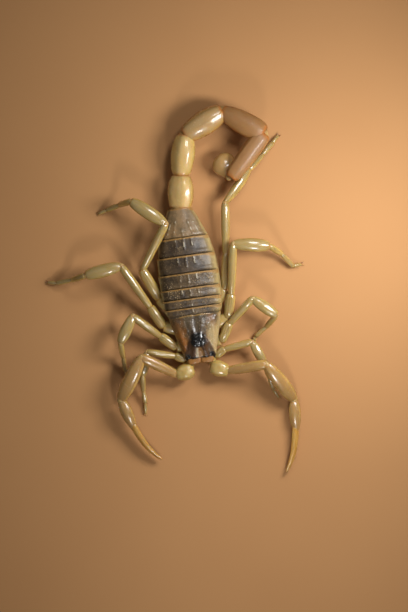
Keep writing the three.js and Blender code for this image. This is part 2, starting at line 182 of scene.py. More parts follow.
class Recipe:
    """A material being mixed round one Principled shader."""

    def __init__(self, name: str) -> None:
        """Starts an empty material.

        Args:
            name: The material's name.
        """
        self.material = bpy.data.materials.new(name)
        self.material.use_nodes = True
        self.tree = self.material.node_tree
        self.tree.nodes.clear()
        self.shader = self.tree.nodes.new("ShaderNodeBsdfPrincipled")
        output = self.tree.nodes.new("ShaderNodeOutputMaterial")
        self.tree.links.new(self.shader.outputs[0], output.inputs[0])

    def node(
        self, kind: str, settings: dict | None = None, sockets: dict | None = None, out: int | str = 0
    ) -> Wire:
        """Adds one node.

        Args:
            kind: The node's type.
            settings: Its own settings, set first.
            sockets: Values or wires by the input's name or number.
            out: Which output to carry on with.

        Returns:
            The wire from that output.
        """
        made = self.tree.nodes.new(kind)
        for key, value in (settings or {}).items():
            setattr(made, key, value)
        for key, value in (sockets or {}).items():
            if isinstance(value, Wire):
                self.tree.links.new(value.socket, made.inputs[key])
            else:
                made.inputs[key].default_value = value
        return Wire(self, made.outputs[out])

    def place(self) -> Wire:
        """Where the point lies on the finished piece, in metres."""
        return self.node("ShaderNodeTexCoord", out="Object")

    def stretched(self, wire: Wire, by: Triple) -> Wire:
        """The same place with its axes scaled, for streaks."""
        return self.node("ShaderNodeVectorMath", {"operation": "MULTIPLY"}, {0: wire, 1: by})

    def lay(self) -> tuple[Wire, Wire, Wire]:
        """Where the point lies on its own shell: across -1 to 1, along 0 to 1, and up -1 to 1."""
        vector = self.node("ShaderNodeAttribute", {"attribute_name": "lay"}, out="Vector")
        split = [self.node("ShaderNodeSeparateXYZ", sockets={0: vector}, out=i) for i in range(3)]
        return split[0], split[1], split[2]

    def worn(self, name: str) -> Wire:
        """A value painted on the shell, such as its dark marks."""
        return self.node("ShaderNodeAttribute", {"attribute_name": name}, out="Fac")

    def cloud(self, per_mm: float, detail: float = 3.0, on: Wire | None = None, rough: float = 0.55) -> Wire:
        """Soft mottling.

        Args:
            per_mm: How many blotches to the millimetre.
            detail: How many finer layers it carries.
            on: The place that it reads, the piece's own if none is given.
            rough: How strong the finer layers are.

        Returns:
            The mottling, 0 to 1.
        """
        sockets = {"Vector": on or self.place(), "Scale": per_mm / MM, "Detail": detail, "Roughness": rough}
        return self.node("ShaderNodeTexNoise", {}, sockets)

    def beads(self, per_mm: float, on: Wire | None = None) -> Wire:
        """The distance to the nearest of many scattered points, for granules and pits."""
        return self.node("ShaderNodeTexVoronoi", {}, {"Vector": on or self.place(), "Scale": per_mm / MM})

    def paint(self, mask: Wire | float, under: Wire | Colour, over: Wire | Colour) -> Wire:
        """Lays one colour over another where the mask is 1."""
        settings = {"data_type": "RGBA", "clamp_factor": True}
        first, second = (end if isinstance(end, Wire) else tint(end) for end in (under, over))
        return self.node("ShaderNodeMix", settings, {0: mask, 6: first, 7: second}, out=2)

    def relief(self, height: Wire, depth: float, under: Wire | None = None) -> Wire:
        """Turns a height into a surface normal.

        Args:
            height: The height, 0 to 1.
            depth: What a height of 1 is worth, in millimetres.
            under: Another relief that this one lies on.

        Returns:
            The normal.
        """
        sockets = {"Height": height, "Distance": depth * MM, "Strength": 1.0}
        if under is not None:
            sockets["Normal"] = under
        return self.node("ShaderNodeBump", {}, sockets)

    def fire(
        self, colour: Wire, rough: Wire | float, normal: Wire | None = None, depth: Depth | None = None
    ) -> bpy.types.Material:
        """Joins everything to the shader and hands the material over.

        Args:
            colour: The base colour.
            rough: The roughness.
            normal: The surface normal, if it is bumped.
            depth: What is the same all over; the shader's own values if none.

        Returns:
            The finished material.
        """
        inputs = {"Base Color": colour, "Roughness": rough, **(depth.sockets() if depth else {})}
        if normal:
            inputs["Normal"] = normal
        for name, value in inputs.items():
            if isinstance(value, Wire):
                self.tree.links.new(value.socket, self.shader.inputs[name])
            else:
                self.shader.inputs[name].default_value = value
        return self.material


@dataclass(frozen=True)
class ShellFinish:
    """Clear straw-coloured shell, glossy, with the flesh showing through, darker at its joints, and with
    painted shade on the sides that face down.
    """

    name: str
    pale: Colour
    deep: Colour
    heart: Colour
    rim: Colour
    dark: Colour = (78, 50, 24)
    rim_reach: float = 0.06
    # how strongly painted shade darkens the sides that face down
    shade: float = 0.3
    seam: float = 0.0
    speckle: float = 0.25
    gloss: float = 0.2
    flesh: float = 0.4
    ripple: float = 1.2
    coat: float = 0.6

    def mix(self) -> bpy.types.Material:
        """Mixes the finish and returns its material."""
        mix = Recipe(self.name)
        across, along, up = mix.lay()
        mottle = mix.cloud(0.55, 4).ramp(0.36, 0.66)
        streaks = mix.cloud(0.9, 3, mix.stretched(self._unrolled(mix, across, along, up), (1.0, 0.16, 1.0)))
        colour = mix.paint(mottle * 0.55 + streaks.ramp(0.4, 0.7) * 0.35, self.pale, self.deep)
        top = mix.worn("top") + (mix.cloud(1.0, 2) - 0.5) * 0.2
        # painted shade: the sides that face the floor are darkened towards the deep colour
        colour = mix.paint(top.ramp(0.0, -0.8) * self.shade, colour, self.deep)
        colour = mix.paint(top.ramp(0.5, 0.84) * 0.8, colour, self.heart)
        colour = mix.paint(abs(top - 0.16).ramp(0.3, 0.06) * self.seam, colour, self.rim)
        ends = along.ramp(self.rim_reach, 0.0).most(along.ramp(1 - self.rim_reach * 0.8, 1.0))
        ragged = ends * (0.55 + mix.cloud(2.4, 2) * 0.8)
        colour = mix.paint(ragged.least(0.92), colour, self.rim)
        lip = along.ramp(0.012, 0.0).most(along.ramp(0.988, 1.0))
        colour = mix.paint(lip * 0.7, colour, self.dark)
        specks = mix.beads(3.4).ramp(0.2, 0.05) * mix.cloud(0.8, 2).ramp(0.5, 0.64)
        colour = mix.paint(specks * self.speckle, colour, self.dark)
        pits = mix.beads(5.5).ramp(0.5, 0.05)
        fine = mix.cloud(7.0, 3)
        normal = mix.relief(pits * 0.5 + fine * 0.5 + mix.cloud(1.2, 2) * self.ripple, 0.016)
        rough = self.gloss + mix.cloud(1.6, 3) * 0.12 + ends * 0.08
        return mix.fire(colour, rough, normal, Depth(self.flesh, 0.5, self.coat, 0.1, (1.0, 0.55, 0.2)))

    @staticmethod
    def _unrolled(mix: Recipe, across: Wire, along: Wire, up: Wire) -> Wire:
        """The shell's own lay as a vector at millimetre size."""
        small = {0: across * (2 * MM), 1: along * (8 * MM), 2: up * (2 * MM)}
        return mix.node("ShaderNodeCombineXYZ", sockets=small)


@dataclass(frozen=True)
class PlateFinish:
    """Dark granular back plate with an ochre rear edge and pale flanks, with painted light on its left side,
    pale glints painted on its keels and some granules, and painted shade in the crease along its front edge.
    """

    name: str
    dark: Colour
    brown: Colour
    edge: Colour = (150, 112, 56)
    flank: Colour = (164, 142, 92)
    band: float = 0.1
    granules: float = 0.5
    gloss: float = 0.36
    grit: float = 0.05
    # the pale flank reaches further in on the left than on the right, partly painted light on the lit side
    left_flank: tuple[float, float] = (0.68, 0.93)
    right_flank: tuple[float, float] = (0.88, 0.98)

    def mix(self) -> bpy.types.Material:
        """Mixes the finish and returns its material."""
        mix = Recipe(self.name)
        across, along, _ = mix.lay()
        wander = mix.cloud(1.3, 3) - 0.5
        mottle = mix.cloud(0.7, 5, rough=0.62).ramp(0.34, 0.68)
        colour = mix.paint(mottle, self.dark, self.brown)
        streaks = mix.cloud(1.6, 3, mix.stretched(mix.place(), (1.0, 0.22, 1.0)))
        colour = mix.paint(streaks.ramp(0.52, 0.72) * 0.4, colour, self.brown)
        grain = mix.beads(3.3)
        beads = grain.ramp(0.42, 0.16)
        patches = mix.cloud(0.6, 3).ramp(0.42, 0.62)
        colour = mix.paint(beads * patches * self.granules, colour, (148, 126, 90))
        glints = mix.beads(2.3).ramp(0.22, 0.08) * patches
        colour = mix.paint(glints * self.granules * 0.8, colour, (188, 160, 112))
        # painted highlight: pale broken streaks along the keels, where they glint
        keel = mix.worn("keel")
        keel_glints = mix.cloud(1.5, 2).ramp(0.44, 0.6)
        colour = mix.paint((keel * keel_glints * 1.2).least(0.8), colour, (172, 160, 136))
        # pale flanks of pleated skin; the left one is wider, partly painted light on the lit side
        left = (across + wander * 0.2).ramp(*self.left_flank)
        right = (0.0 - across + wander * 0.1).ramp(*self.right_flank)
        # painted sheen: a grey-tan band towards the left (+X) side, where the plate catches the light
        colour = mix.paint((across + wander * 0.3).ramp(0.45, 0.75) * 0.5, colour, (128, 107, 74))
        colour = mix.paint(left.most(right), colour, self.flank)
        worn = 0.55 + mix.cloud(1.9, 3).ramp(0.3, 0.6) * 0.45
        hook = across.ramp(0.45, 0.95) * self.band * 1.5
        rear = (along + wander * 0.06 + hook).ramp(1 - self.band * 1.3, 1 - self.band * 0.7)
        colour = mix.paint(rear * worn, colour, self.edge)
        # painted shade: a dark band along the front edge, where the plate tucks under the one before it
        crease_shade = mix.worn("crease_shade")
        colour = mix.paint(crease_shade * 0.6, colour, (38, 28, 18))
        relief = mix.relief(mix.cloud(5.0, 4), 0.007, mix.relief(beads * patches * self.granules, self.grit))
        rough = self.gloss + mix.cloud(2.2, 3) * 0.16 + rear * 0.1
        return mix.fire(colour, rough, relief, Depth(0.08, 0.25, 0.1, 0.25, (1.0, 0.5, 0.25)))


@dataclass(frozen=True)
class HeadFinish:
    """The fore-body shield: amber sides, a grey-brown streaked rear and black marks round the eyes, with
    painted light on its left side and a painted glint at its front.
    """

    name: str
    amber: Colour = (130, 80, 24)
    grey: Colour = (84, 69, 49)
    pale: Colour = (180, 156, 108)
    black: Colour = (15, 13, 11)

    def mix(self) -> bpy.types.Material:
        """Mixes the finish and returns its material."""
        mix = Recipe(self.name)
        across, along, _ = mix.lay()
        wander = mix.cloud(1.4, 4) - 0.5
        side = abs(across)
        fan = mix.cloud(1.1, 4, mix.stretched(mix.place(), (1.0, 0.3, 1.0)))
        rear = (along + wander * 0.35).ramp(0.46, 0.24)
        middle = (side + wander * 0.4).ramp(0.72, 0.36)
        colour = mix.paint(rear.most(middle * along.ramp(0.7, 0.5)) * middle.most(0.5), self.amber, self.grey)
        colour = mix.paint(fan.ramp(0.46, 0.6) * 0.7, colour, (58, 44, 28))
        front = (along + wander * 0.1).ramp(0.66, 0.76) * side.ramp(0.4, 0.15)
        colour = mix.paint(front * 0.85, colour, (140, 104, 62))
        # painted light: the left (+X) side is paled where the lamp lights it
        light = (across + wander * 0.35).ramp(0.35, 0.65) * along.ramp(0.1, 0.45)
        colour = mix.paint(light * 0.8, colour, self.pale)
        edge = across.ramp(0.8, 0.99).most(across.ramp(-0.94, -1.0) * 0.6)
        colour = mix.paint(edge * 0.8, colour, self.pale)
        hem = (along + wander * 0.03).ramp(0.04, 0.015)
        colour = mix.paint(hem * 0.7, colour, (150, 116, 60))
        grains = mix.beads(3.6).ramp(0.36, 0.12)
        patches = mix.cloud(0.8, 3).ramp(0.42, 0.62)
        # pale granules in patches, and more of them on the left side as painted glints
        colour = mix.paint(grains * (patches * 0.25).most(light * 0.75), colour, (204, 184, 142))
        ink = mix.worn("ink") + wander * 0.3
        colour = mix.paint((mix.worn("arm") + wander * 0.5).ramp(0.15, 0.5) * 0.9, colour, (66, 44, 28))
        colour = mix.paint(ink.ramp(0.1, 0.4) * 0.7, colour, (58, 40, 26))
        ink = ink.ramp(0.4, 0.8)
        colour = mix.paint(ink, colour, self.black)
        # painted highlight: a pale, smoother streak left of the middle at the front, where the shield glints
        glint_streak = mix.worn("glint_streak")
        colour = mix.paint(glint_streak * 0.7, colour, (196, 186, 164))
        relief = mix.relief(mix.cloud(5.0, 4), 0.02, mix.relief(grains * (0.4 + patches * 0.6), 0.04))
        rough = 0.3 + mix.cloud(2.2, 3) * 0.16 - (ink * 0.12).most(glint_streak * 0.2)
        return mix.fire(colour, rough, relief, Depth(0.15, 0.3, 0.3, 0.2))


@dataclass(frozen=True)
class SkinFinish:
    """Soft finely pleated skin between the plates, with painted shade in the troughs of its pleats."""

    name: str
    pale: Colour = (172, 149, 97)
    deep: Colour = (132, 104, 56)
    pleats: float = 6.0

    def mix(self) -> bpy.types.Material:
        """Mixes the finish and returns its material."""
        mix = Recipe(self.name)
        folds = mix.cloud(self.pleats, 2, mix.stretched(mix.place(), (1.0, 0.25, 1.0)))
        colour = mix.paint(mix.cloud(0.8, 4).ramp(0.35, 0.68) * 0.6, self.pale, self.deep)
        # painted shade: the troughs of the pleats are darkened
        colour = mix.paint(folds.ramp(0.55, 0.4) * 0.35, colour, self.deep)
        relief = mix.relief(folds, 0.05, mix.relief(mix.cloud(14.0, 2), 0.008))
        rough = 0.45 + mix.cloud(2.0, 3) * 0.15
        return mix.fire(colour, rough, relief, Depth(0.4, 0.4, 0.12, 0.3, (1.0, 0.6, 0.25)))


@dataclass(frozen=True)
class HornFinish:
    """Hard dark horn that runs from amber at its root to nearly black at its tip."""

    name: str
    root: Colour
    tip: Colour
    turn: float = 0.5
    gloss: float = 0.18
    coat: float = 0.5

    def mix(self) -> bpy.types.Material:
        """Mixes the finish and returns its material."""
        mix = Recipe(self.name)
        _, along, _ = mix.lay()
        wander = mix.cloud(1.5, 3) - 0.5
        ageing = (along + wander * 0.15).ramp(self.turn - 0.3, self.turn + 0.3)
        colour = mix.paint(ageing, self.root, self.tip)
        colour = mix.paint(mix.cloud(3.0, 3).ramp(0.45, 0.7) * 0.3, colour, self.tip)
        relief = mix.relief(mix.cloud(6.0, 3), 0.008)
        rough = self.gloss + mix.cloud(3.0, 2) * 0.12
        return mix.fire(colour, rough, relief, Depth(0.05, 0.2, self.coat, 0.08, (1.0, 0.2, 0.1)))


class Finishes:
    """Every finish of the animal, each mixed once."""

    def __init__(self) -> None:
        """Mixes them all."""
        rim = (166, 100, 36)
        tail = {"rim_reach": 0.12, "rim": rim}
        self.tail_olive = ShellFinish(
            "tail_olive", (204, 172, 98), (164, 132, 68), (202, 168, 110), rim, seam=0.5, rim_reach=0.11
        ).mix()
        self.tail_mid = ShellFinish(
            "tail_mid", (182, 144, 82), (148, 108, 54), (174, 141, 95), seam=0.7, coat=0.45, **tail
        ).mix()
        self.tail_pink = ShellFinish(
            "tail_pink", (168, 122, 68), (134, 88, 44), (144, 103, 60), seam=0.85, gloss=0.42,
            coat=0.12, **tail,
        ).mix()  # fmt: skip
        self.bulb = ShellFinish(
            "bulb", (182, 146, 86), (150, 112, 58), (180, 142, 90), rim, seam=0.3, gloss=0.14
        ).mix()
        self.leg = ShellFinish(
            "leg", (192, 162, 86), (154, 122, 58), (160, 137, 90), (168, 112, 40), seam=0.45, gloss=0.15,
            ripple=0.35, coat=0.9,
        ).mix()  # fmt: skip
        self.palp = ShellFinish(
            "palp", (194, 158, 88), (154, 118, 58), (164, 126, 78), (164, 108, 46), seam=0.4, ripple=0.5
        ).mix()
        self.finger = ShellFinish(
            "finger", (206, 160, 76), (174, 122, 46), (186, 140, 68), (170, 122, 58)
        ).mix()
        self.jaw = ShellFinish(
            "jaw", (176, 124, 58), (124, 80, 34), (140, 94, 44), (116, 70, 28), speckle=0.6, gloss=0.34,
            flesh=0.15, coat=0.2,
        ).mix()  # fmt: skip
        self.base = ShellFinish(
            "base", (196, 166, 92), (160, 127, 62), (176, 148, 88), (156, 106, 42), seam=0.35, gloss=0.28
        ).mix()
        self.plate = PlateFinish(
            "plate", (47, 34, 20), (78, 60, 38), granules=0.4, gloss=0.45, grit=0.02
        ).mix()
        self.front_plate = PlateFinish("front_plate", (54, 41, 26), (96, 76, 50), granules=0.9).mix()
        self.last_plate = PlateFinish(
            "last_plate", (104, 84, 56), (134, 106, 71), granules=0.6, grit=0.025, left_flank=(0.8, 0.95)
        ).mix()
        self.belly = PlateFinish("belly", (168, 142, 92), (190, 166, 112), (150, 112, 58), granules=0.2).mix()
        self.head = HeadFinish("head").mix()
        self.hump = HornFinish("hump", (15, 14, 12), (9, 9, 9), gloss=0.26, coat=0.2).mix()
        self.eye = HornFinish("eye", (10, 10, 11), (5, 5, 6), gloss=0.05).mix()
        self.skin = SkinFinish("skin").mix()
        self.hinge = SkinFinish("hinge", (190, 160, 100), (140, 96, 46), pleats=4.0).mix()
        self.claw = HornFinish("claw", (170, 128, 66), (112, 66, 30)).mix()
        self.sting = HornFinish("sting", (150, 92, 40), (34, 16, 10), turn=0.42).mix()
        self.bristle = HornFinish("bristle", (150, 104, 56), (96, 58, 28)).mix()


# ---------------------------------------------------------------- shaping shells


@dataclass(frozen=True)
class Ring:
    """One oval of a lofted shell, in millimetres: its place along the shell, its size and its offset."""

    along: float
    wide: float
    high: float
    aside: float = 0.0
    lift: float = 0.0


class Clay:
    """One piece on the bench, a unit to the millimetre, its nose along +Y and its back up."""

    def __init__(self, name: str) -> None:
        """Takes the primitive that was just added.

        Args:
            name: The piece's name.
        """
        self.body = bpy.context.object
        self.body.name = self.body.data.name = name

    # -- starting shapes

    @staticmethod
    def clear() -> None:
        """Deselects everything, so that the next primitive stands alone."""
        bpy.ops.object.select_all(action="DESELECT")

    @classmethod
    def lofted(
        cls,
        name: str,
        rings: Sequence[Ring],
        sides: int = 14,
        square: float = 0.0,
        keels: Keels = (),
    ) -> "Clay":
        """Draws out a closed shell, one oval after another.

        Args:
            name: The piece's name.
            rings: The ovals from its root to its nose.
            sides: Corners of each oval.
            square: How far the oval leans towards a box.
            keels: Pairs of a keel's turn round the shell in degrees, 90 its back, and how far it
                stands out as a part of the radius.

        Returns:
            The shell.
        """
        clay = cls._hoop(name, sides, square, "NGON")
        clay._press_keels(keels)
        clay._draw_out(rings, bpy.ops.mesh.extrude_region_move)
        return clay.outwards()

    @classmethod
    def arched(
        cls, name: str, rings: Sequence[Ring], sides: int = 48, ends: Spot = (0, 180), square: float = 0.1
    ) -> "Clay":
        """Draws out an open arch, as a plate over the back.

        Args:
            name: The piece's name.
            rings: The ovals that it follows.
            sides: Corners of a whole oval.
            ends: Where the arch starts and stops round the oval, in degrees.
            square: How far the oval leans towards a box.

        Returns:
            The arch, one face thick, outwards.
        """
        clay = cls._hoop(name, sides, square, "NOTHING")
        middle = math.radians(sum(ends) / 2)
        half = math.radians((ends[1] - ends[0]) / 2)

        def outside(place: Vector) -> bool:
            """Whether a corner is off the arch."""
            turn = math.atan2(place.z, place.x) - middle
            return abs((turn + math.pi) % (2 * math.pi) - math.pi) > half

        clay.pick(outside)
        clay.edit()
        bpy.ops.mesh.delete(type="VERT")
        clay.rest()
        clay._draw_out(rings, bpy.ops.mesh.extrude_edges_move)
        clay.outwards()
        middle_height = rings[0].lift
        outward = 0.0
        for face in clay.body.data.polygons:
            outward += face.normal.dot(Vector((face.center.x, 0, face.center.z - middle_height)))
        if outward < 0:
            clay.edit(everything=True)
            bpy.ops.mesh.flip_normals()
            clay.rest()
        return clay

    @classmethod
    def _hoop(cls, name: str, sides: int, square: float, fill: str) -> "Clay":
        """Adds the first oval, standing across the nose."""
        cls.clear()
        upright = (math.pi / 2, 0, 0)
        bpy.ops.mesh.primitive_circle_add(vertices=sides, radius=1, fill_type=fill, rotation=upright)
        bpy.ops.object.transform_apply(location=True, rotation=True, scale=True)
        clay = cls(name)
        if square:
            clay.modify("CAST", cast_type="CUBOID", factor=square, use_y=False)
        return clay

    def _press_keels(self, keels: Keels) -> None:
        """Pulls single corners of the first oval out, or in, before it is drawn out."""
        for turn, out in keels:
            angle = math.radians(turn)
            toward = Vector((math.cos(angle), 0, math.sin(angle)))
            nearest = max(self.body.data.vertices, key=lambda v: v.co.normalized().dot(toward)).co.copy()
            self.pick(lambda place: (place - nearest).length < 1e-4)
            self.edit()
            bpy.ops.transform.translate(value=nearest * out)
            self.rest()

    def _draw_out(self, rings: Sequence[Ring], extrude: Callable) -> None:
        """Extrudes the oval from ring to ring."""
        first = rings[0]
        self.edit(everything=True)
        bpy.ops.transform.resize(value=(first.wide / 2, 1, first.high / 2), center_override=(0, 0, 0))
        bpy.ops.transform.translate(value=(first.aside, first.along, first.lift))
        for last, ring in pairwise(rings):
            step = (ring.aside - last.aside, ring.along - last.along, ring.lift - last.lift)
            extrude(TRANSFORM_OT_translate={"value": step})
            grown = (ring.wide / last.wide, 1, ring.high / last.high)
            bpy.ops.transform.resize(value=grown, center_override=(ring.aside, ring.along, ring.lift))
        self.rest()

    # -- the bench

    def edit(self, everything: bool = False) -> None:
        """Goes to the edit bench, with all of the piece selected if asked."""
        bpy.context.view_layer.objects.active = self.body
        bpy.ops.object.mode_set(mode="EDIT")
        if everything:
            bpy.ops.mesh.select_all(action="SELECT")

    def rest(self) -> None:
        """Leaves the edit bench."""
        bpy.ops.object.mode_set(mode="OBJECT")

    def pick(self, wanted: Callable[[Vector], bool]) -> int:
        """Selects the corners at the wanted places, and nothing else.

        Args:
            wanted: Says of a place whether it is wanted.

        Returns:
            How many were picked.
        """
        mesh = self.body.data
        flags = [bool(wanted(vertex.co)) for vertex in mesh.vertices]
        mesh.polygons.foreach_set("select", [False] * len(mesh.polygons))
        mesh.edges.foreach_set("select", [all(flags[end] for end in edge.vertices) for edge in mesh.edges])
        mesh.vertices.foreach_set("select", flags)
        return sum(flags)

    def outwards(self) -> "Clay":
        """Turns every face outwards."""
        self.edit(everything=True)
        bpy.ops.mesh.normals_make_consistent(inside=False)
        self.rest()
        return self

    def modify(self, kind: str, **settings: object) -> "Clay":
        """Adds one modifier and applies it."""
        bpy.context.view_layer.objects.active = self.body
        modifier = self.body.modifiers.new(kind.lower(), kind)
        for key, value in settings.items():
            setattr(modifier, key, value)
        bpy.ops.object.modifier_apply(modifier=modifier.name)
        return self

    def refine(self, levels: int) -> "Clay":
        """Rounds the piece with a subdivision surface."""
        return self.modify("SUBSURF", levels=levels, render_levels=levels)

    def thicken(self, depth: float) -> "Clay":
        """Gives a sheet its thickness, inwards."""
        return self.modify("SOLIDIFY", thickness=depth, offset=-1, use_even_offset=False)

    # -- hand work

    def push(self, near: Callable[[Vector], bool], by: Triple, reach: float) -> "Clay":
        """Moves the picked corners, and their neighbours less and less.

        Args:
            near: Which corners move fully.
            by: The move in millimetres.
            reach: How far off the neighbours still follow.

        Returns:
            The piece itself.
        """
        if self.pick(near):
            self.edit()
            bpy.ops.transform.translate(value=by, proportional_size=reach, **SOFT_EDIT)
            self.rest()
        return self

    def raise_line(self, line: Table, height: float, width: float) -> "Clay":
        """Raises a keel, or presses a groove, along a line seen from above.

        Args:
            line: The line's corners as across and along.
            height: How far it stands out.
            width: Half its width at its foot.

        Returns:
            The piece itself.
        """
        step = width * 0.3
        if self.pick(lambda place: place.z > self.floor and off_line(place, line) < step):
            self.edit()
            bpy.ops.transform.shrink_fatten(value=height, proportional_size=width, **SOFT_EDIT)
            self.rest()
        return self

    floor: float = -1e9

    def roughen(self, size: float, height: float, seed: float = 0.0, cells: bool = True) -> "Clay":
        """Raises granules or low waves all over the piece.

        Args:
            size: How far apart they lie, in millimetres.
            height: How high they stand.
            seed: Shifts the pattern, so that no two pieces match.
            cells: Granules if true, waves if not.

        Returns:
            The piece itself.
        """
        pattern = bpy.data.textures.new("grain", "VORONOI" if cells else "CLOUDS")
        pattern.noise_scale = size
        self.body.location.x = seed
        self.modify(
            "DISPLACE",
            texture=pattern,
            texture_coords="GLOBAL",
            strength=-height if cells else height,
            mid_level=0.35 if cells else 0.5,
        )
        self.body.location.x = 0
        bpy.data.textures.remove(pattern)
        return self

    def stroke(self, name: str, lines: Iterable[tuple[Table, float]], strength: float = 1.0) -> "Clay":
        """Paints soft strokes, seen from above, into a layer that the finish reads.

        Args:
            name: The layer's name.
            lines: Each line's corners as across and along, with its half width.
            strength: The layer's value along the middle of a stroke.

        Returns:
            The piece itself.
        """
        layer = self.body.data.attributes.get(name) or self.body.data.attributes.new(name, "FLOAT", "POINT")
        for line, width in lines:
            for vertex, value in zip(self.body.data.vertices, layer.data):
                away = off_line(vertex.co, line) / width
                value.value = max(value.value, strength * max(0.0, 1 - away * away * 0.5))
        return self

    def bead(
        self, article: "Article", turns: Sequence[float], first: float, step: float, count: int, size: float
    ) -> "Clay":
        """Sets rows of blunt beads along the keels of a shell.

        Args:
            article: The shell's plan.
            turns: The turn of each row round the shell, in degrees.
            first: The first bead's place along it.
            step: From bead to bead.
            count: How many beads a row has.
            size: A bead's size in millimetres.

        Returns:
            The piece itself.
        """
        self.lay_out()
        home = article.place.inverted()
        places = []
        for turn in turns:
            for index in range(count):
                place = article.skin_place(first + step * index, turn, 0.7, 0.99)
                places.append(home @ place @ Matrix.Scale(size * (0.8 + 0.4 * index / count), 4))
        seed = Clay.lofted("tooth", [Ring(0, 1.6, 1.6), Ring(0.5, 1.2, 1.2), Ring(0.9, 0.5, 0.5)], sides=6)
        return self.melt_in([seed.strewn("teeth", places)])

    def lay_out(self, low: Vector | None = None, high: Vector | None = None) -> "Clay":
        """Writes each corner's own place across, along and up the piece for its finish."""
        places = [vertex.co for vertex in self.body.data.vertices]
        low = low or Vector([min(place[i] for place in places) for i in range(3)])
        high = high or Vector([max(place[i] for place in places) for i in range(3)])
        layer = self.body.data.attributes.new("lay", "FLOAT_VECTOR", "POINT")
        values: list[float] = []
        for place in places:
            part = [(place[i] - low[i]) / ((high[i] - low[i]) or 1.0) for i in range(3)]
            values += [part[0] * 2 - 1, part[1], part[2] * 2 - 1]
        layer.data.foreach_set("vector", values)
        return self

    def even_sides(self, half_width: Callable[[float], float]) -> "Clay":
        """Makes the piece's own place across reach 1 at its side edges all along.

        Args:
            half_width: Gives half its width at a place along the animal.

        Returns:
            The piece itself.
        """
        layer = self.body.data.attributes["lay"]
        for vertex, value in zip(self.body.data.vertices, layer.data):
            value.vector.x = vertex.co.x / half_width(vertex.co.y)
        return self

    def put(self, at: Matrix) -> "Clay":
        """Lays the piece in a place, in millimetres."""
        self.body.data.transform(at)
        return self

    def finish(self, look: bpy.types.Material, slot: str, *nodes: str, at: Matrix | None = None) -> None:
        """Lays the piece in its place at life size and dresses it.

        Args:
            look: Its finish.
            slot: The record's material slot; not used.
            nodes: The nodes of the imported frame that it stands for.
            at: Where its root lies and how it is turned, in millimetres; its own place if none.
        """
        if "lay" not in self.body.data.attributes:
            self.lay_out()
        self.put(at or Matrix())
        self._settle()
        facing = self.body.data.attributes.new("top", "FLOAT", "POINT")
        facing.data.foreach_set("value", [normal.vector.z for normal in self.body.data.vertex_normals])
        self.body.data.transform(Matrix.Scale(MM, 4))
        Clay.clear()
        self.body.select_set(True)
        bpy.context.view_layer.objects.active = self.body
        bpy.ops.object.shade_smooth_by_angle(angle=math.radians(SHARP_TURN))
        self.body.data.materials.clear()
        self.body.data.materials.append(look)
        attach(self.body, "root")
        if nodes:
            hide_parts(*nodes)
        log.info("%s: %d faces", self.body.name, len(self.body.data.polygons))

    def _settle(self) -> None:
        """Flattens what would sink into the floor."""
        if self.pick(lambda place: place.z < FLOOR_GAP):
            self.edit()
            bpy.ops.transform.resize(value=(1, 1, 0), center_override=(0, 0, FLOOR_GAP))
            self.rest()

    def melt_in(self, others: Iterable["Clay"]) -> "Clay":
        """Joins other pieces into this one, which then has no bake map of its own."""
        Clay.clear()
        for other in others:
            other.body.select_set(True)
        self.body.select_set(True)
        bpy.context.view_layer.objects.active = self.body
        bpy.ops.object.join()
        maps = self.body.data.uv_layers
        if BAKE_MAP in maps:
            maps.remove(maps[BAKE_MAP])
        return self

    @staticmethod
    def gathered(name: str, pieces: Sequence["Clay"]) -> "Clay":
        """Joins small like pieces into one piece of that name."""
        one = pieces[0].melt_in(pieces[1:])
        one.body.name = one.body.data.name = name
        return one

    def strewn(self, name: str, places: Sequence[Matrix]) -> "Clay":
        """Copies this small shape to many places as one mesh, with each copy's patch on the bake map.

        Args:
            name: The new piece's name.
            places: Where each copy lies, in millimetres.

        Returns:
            The new piece; this one is used up.
        """
        source = self.body.data
        corners = [vertex.co.copy() for vertex in source.vertices]
        faces = [tuple(face.vertices) for face in source.polygons]
        longest = max(corner.y for corner in corners) or 1.0
        mesh = bpy.data.meshes.new(name)
        mesh.from_pydata(
            [place @ corner for place in places for corner in corners],
            [],
            [tuple(index + k * len(corners) for index in face) for k in range(len(places)) for face in faces],
        )
        laid = mesh.attributes.new("lay", "FLOAT_VECTOR", "POINT")
        one = [value for corner in corners for value in (0.0, corner.y / longest, 0.0)]
        laid.data.foreach_set("vector", one * len(places))
        bake = mesh.uv_layers.new(name=BAKE_MAP)
        spread = math.ceil(math.sqrt(len(places)))
        patch: list[float] = []
        for k in range(len(places)):
            root = Vector(((k % spread + 0.5) / spread, (k // spread + 0.5) / spread))
            for face in faces:
                for index in face:
                    corner = corners[index]
                    patch.append(root.x + TUFT_PATCH / 2 * corner.x / longest)
                    patch.append(root.y + TUFT_PATCH * (corner.y / longest - 0.5))
        bake.data.foreach_set("uv", patch)
        bpy.data.objects.remove(self.body)
        made = bpy.data.objects.new(name, mesh)
        bpy.context.scene.collection.objects.link(made)
        bpy.context.view_layer.objects.active = made
        return Clay(name)


def off_line(place: Vector, line: Table) -> float:
    """How far a place lies from a line, seen from above.

    Args:
        place: The place.
        line: The line's corners as across and along.

    Returns:
        The distance.
    """
    best = math.inf
    for (ax, ay), (bx, by) in pairwise(line):
        dx, dy = bx - ax, by - ay
        part = ((place.x - ax) * dx + (place.y - ay) * dy) / max(dx * dx + dy * dy, 1e-9)
        part = min(1.0, max(0.0, part))
        best = min(best, math.hypot(place.x - ax - part * dx, place.y - ay - part * dy))
    return best


def both_sides(line: Table) -> list[Table]:
    """A line and its mirror image across the middle."""
    return [list(line), [(-x, y) for x, y in line]]


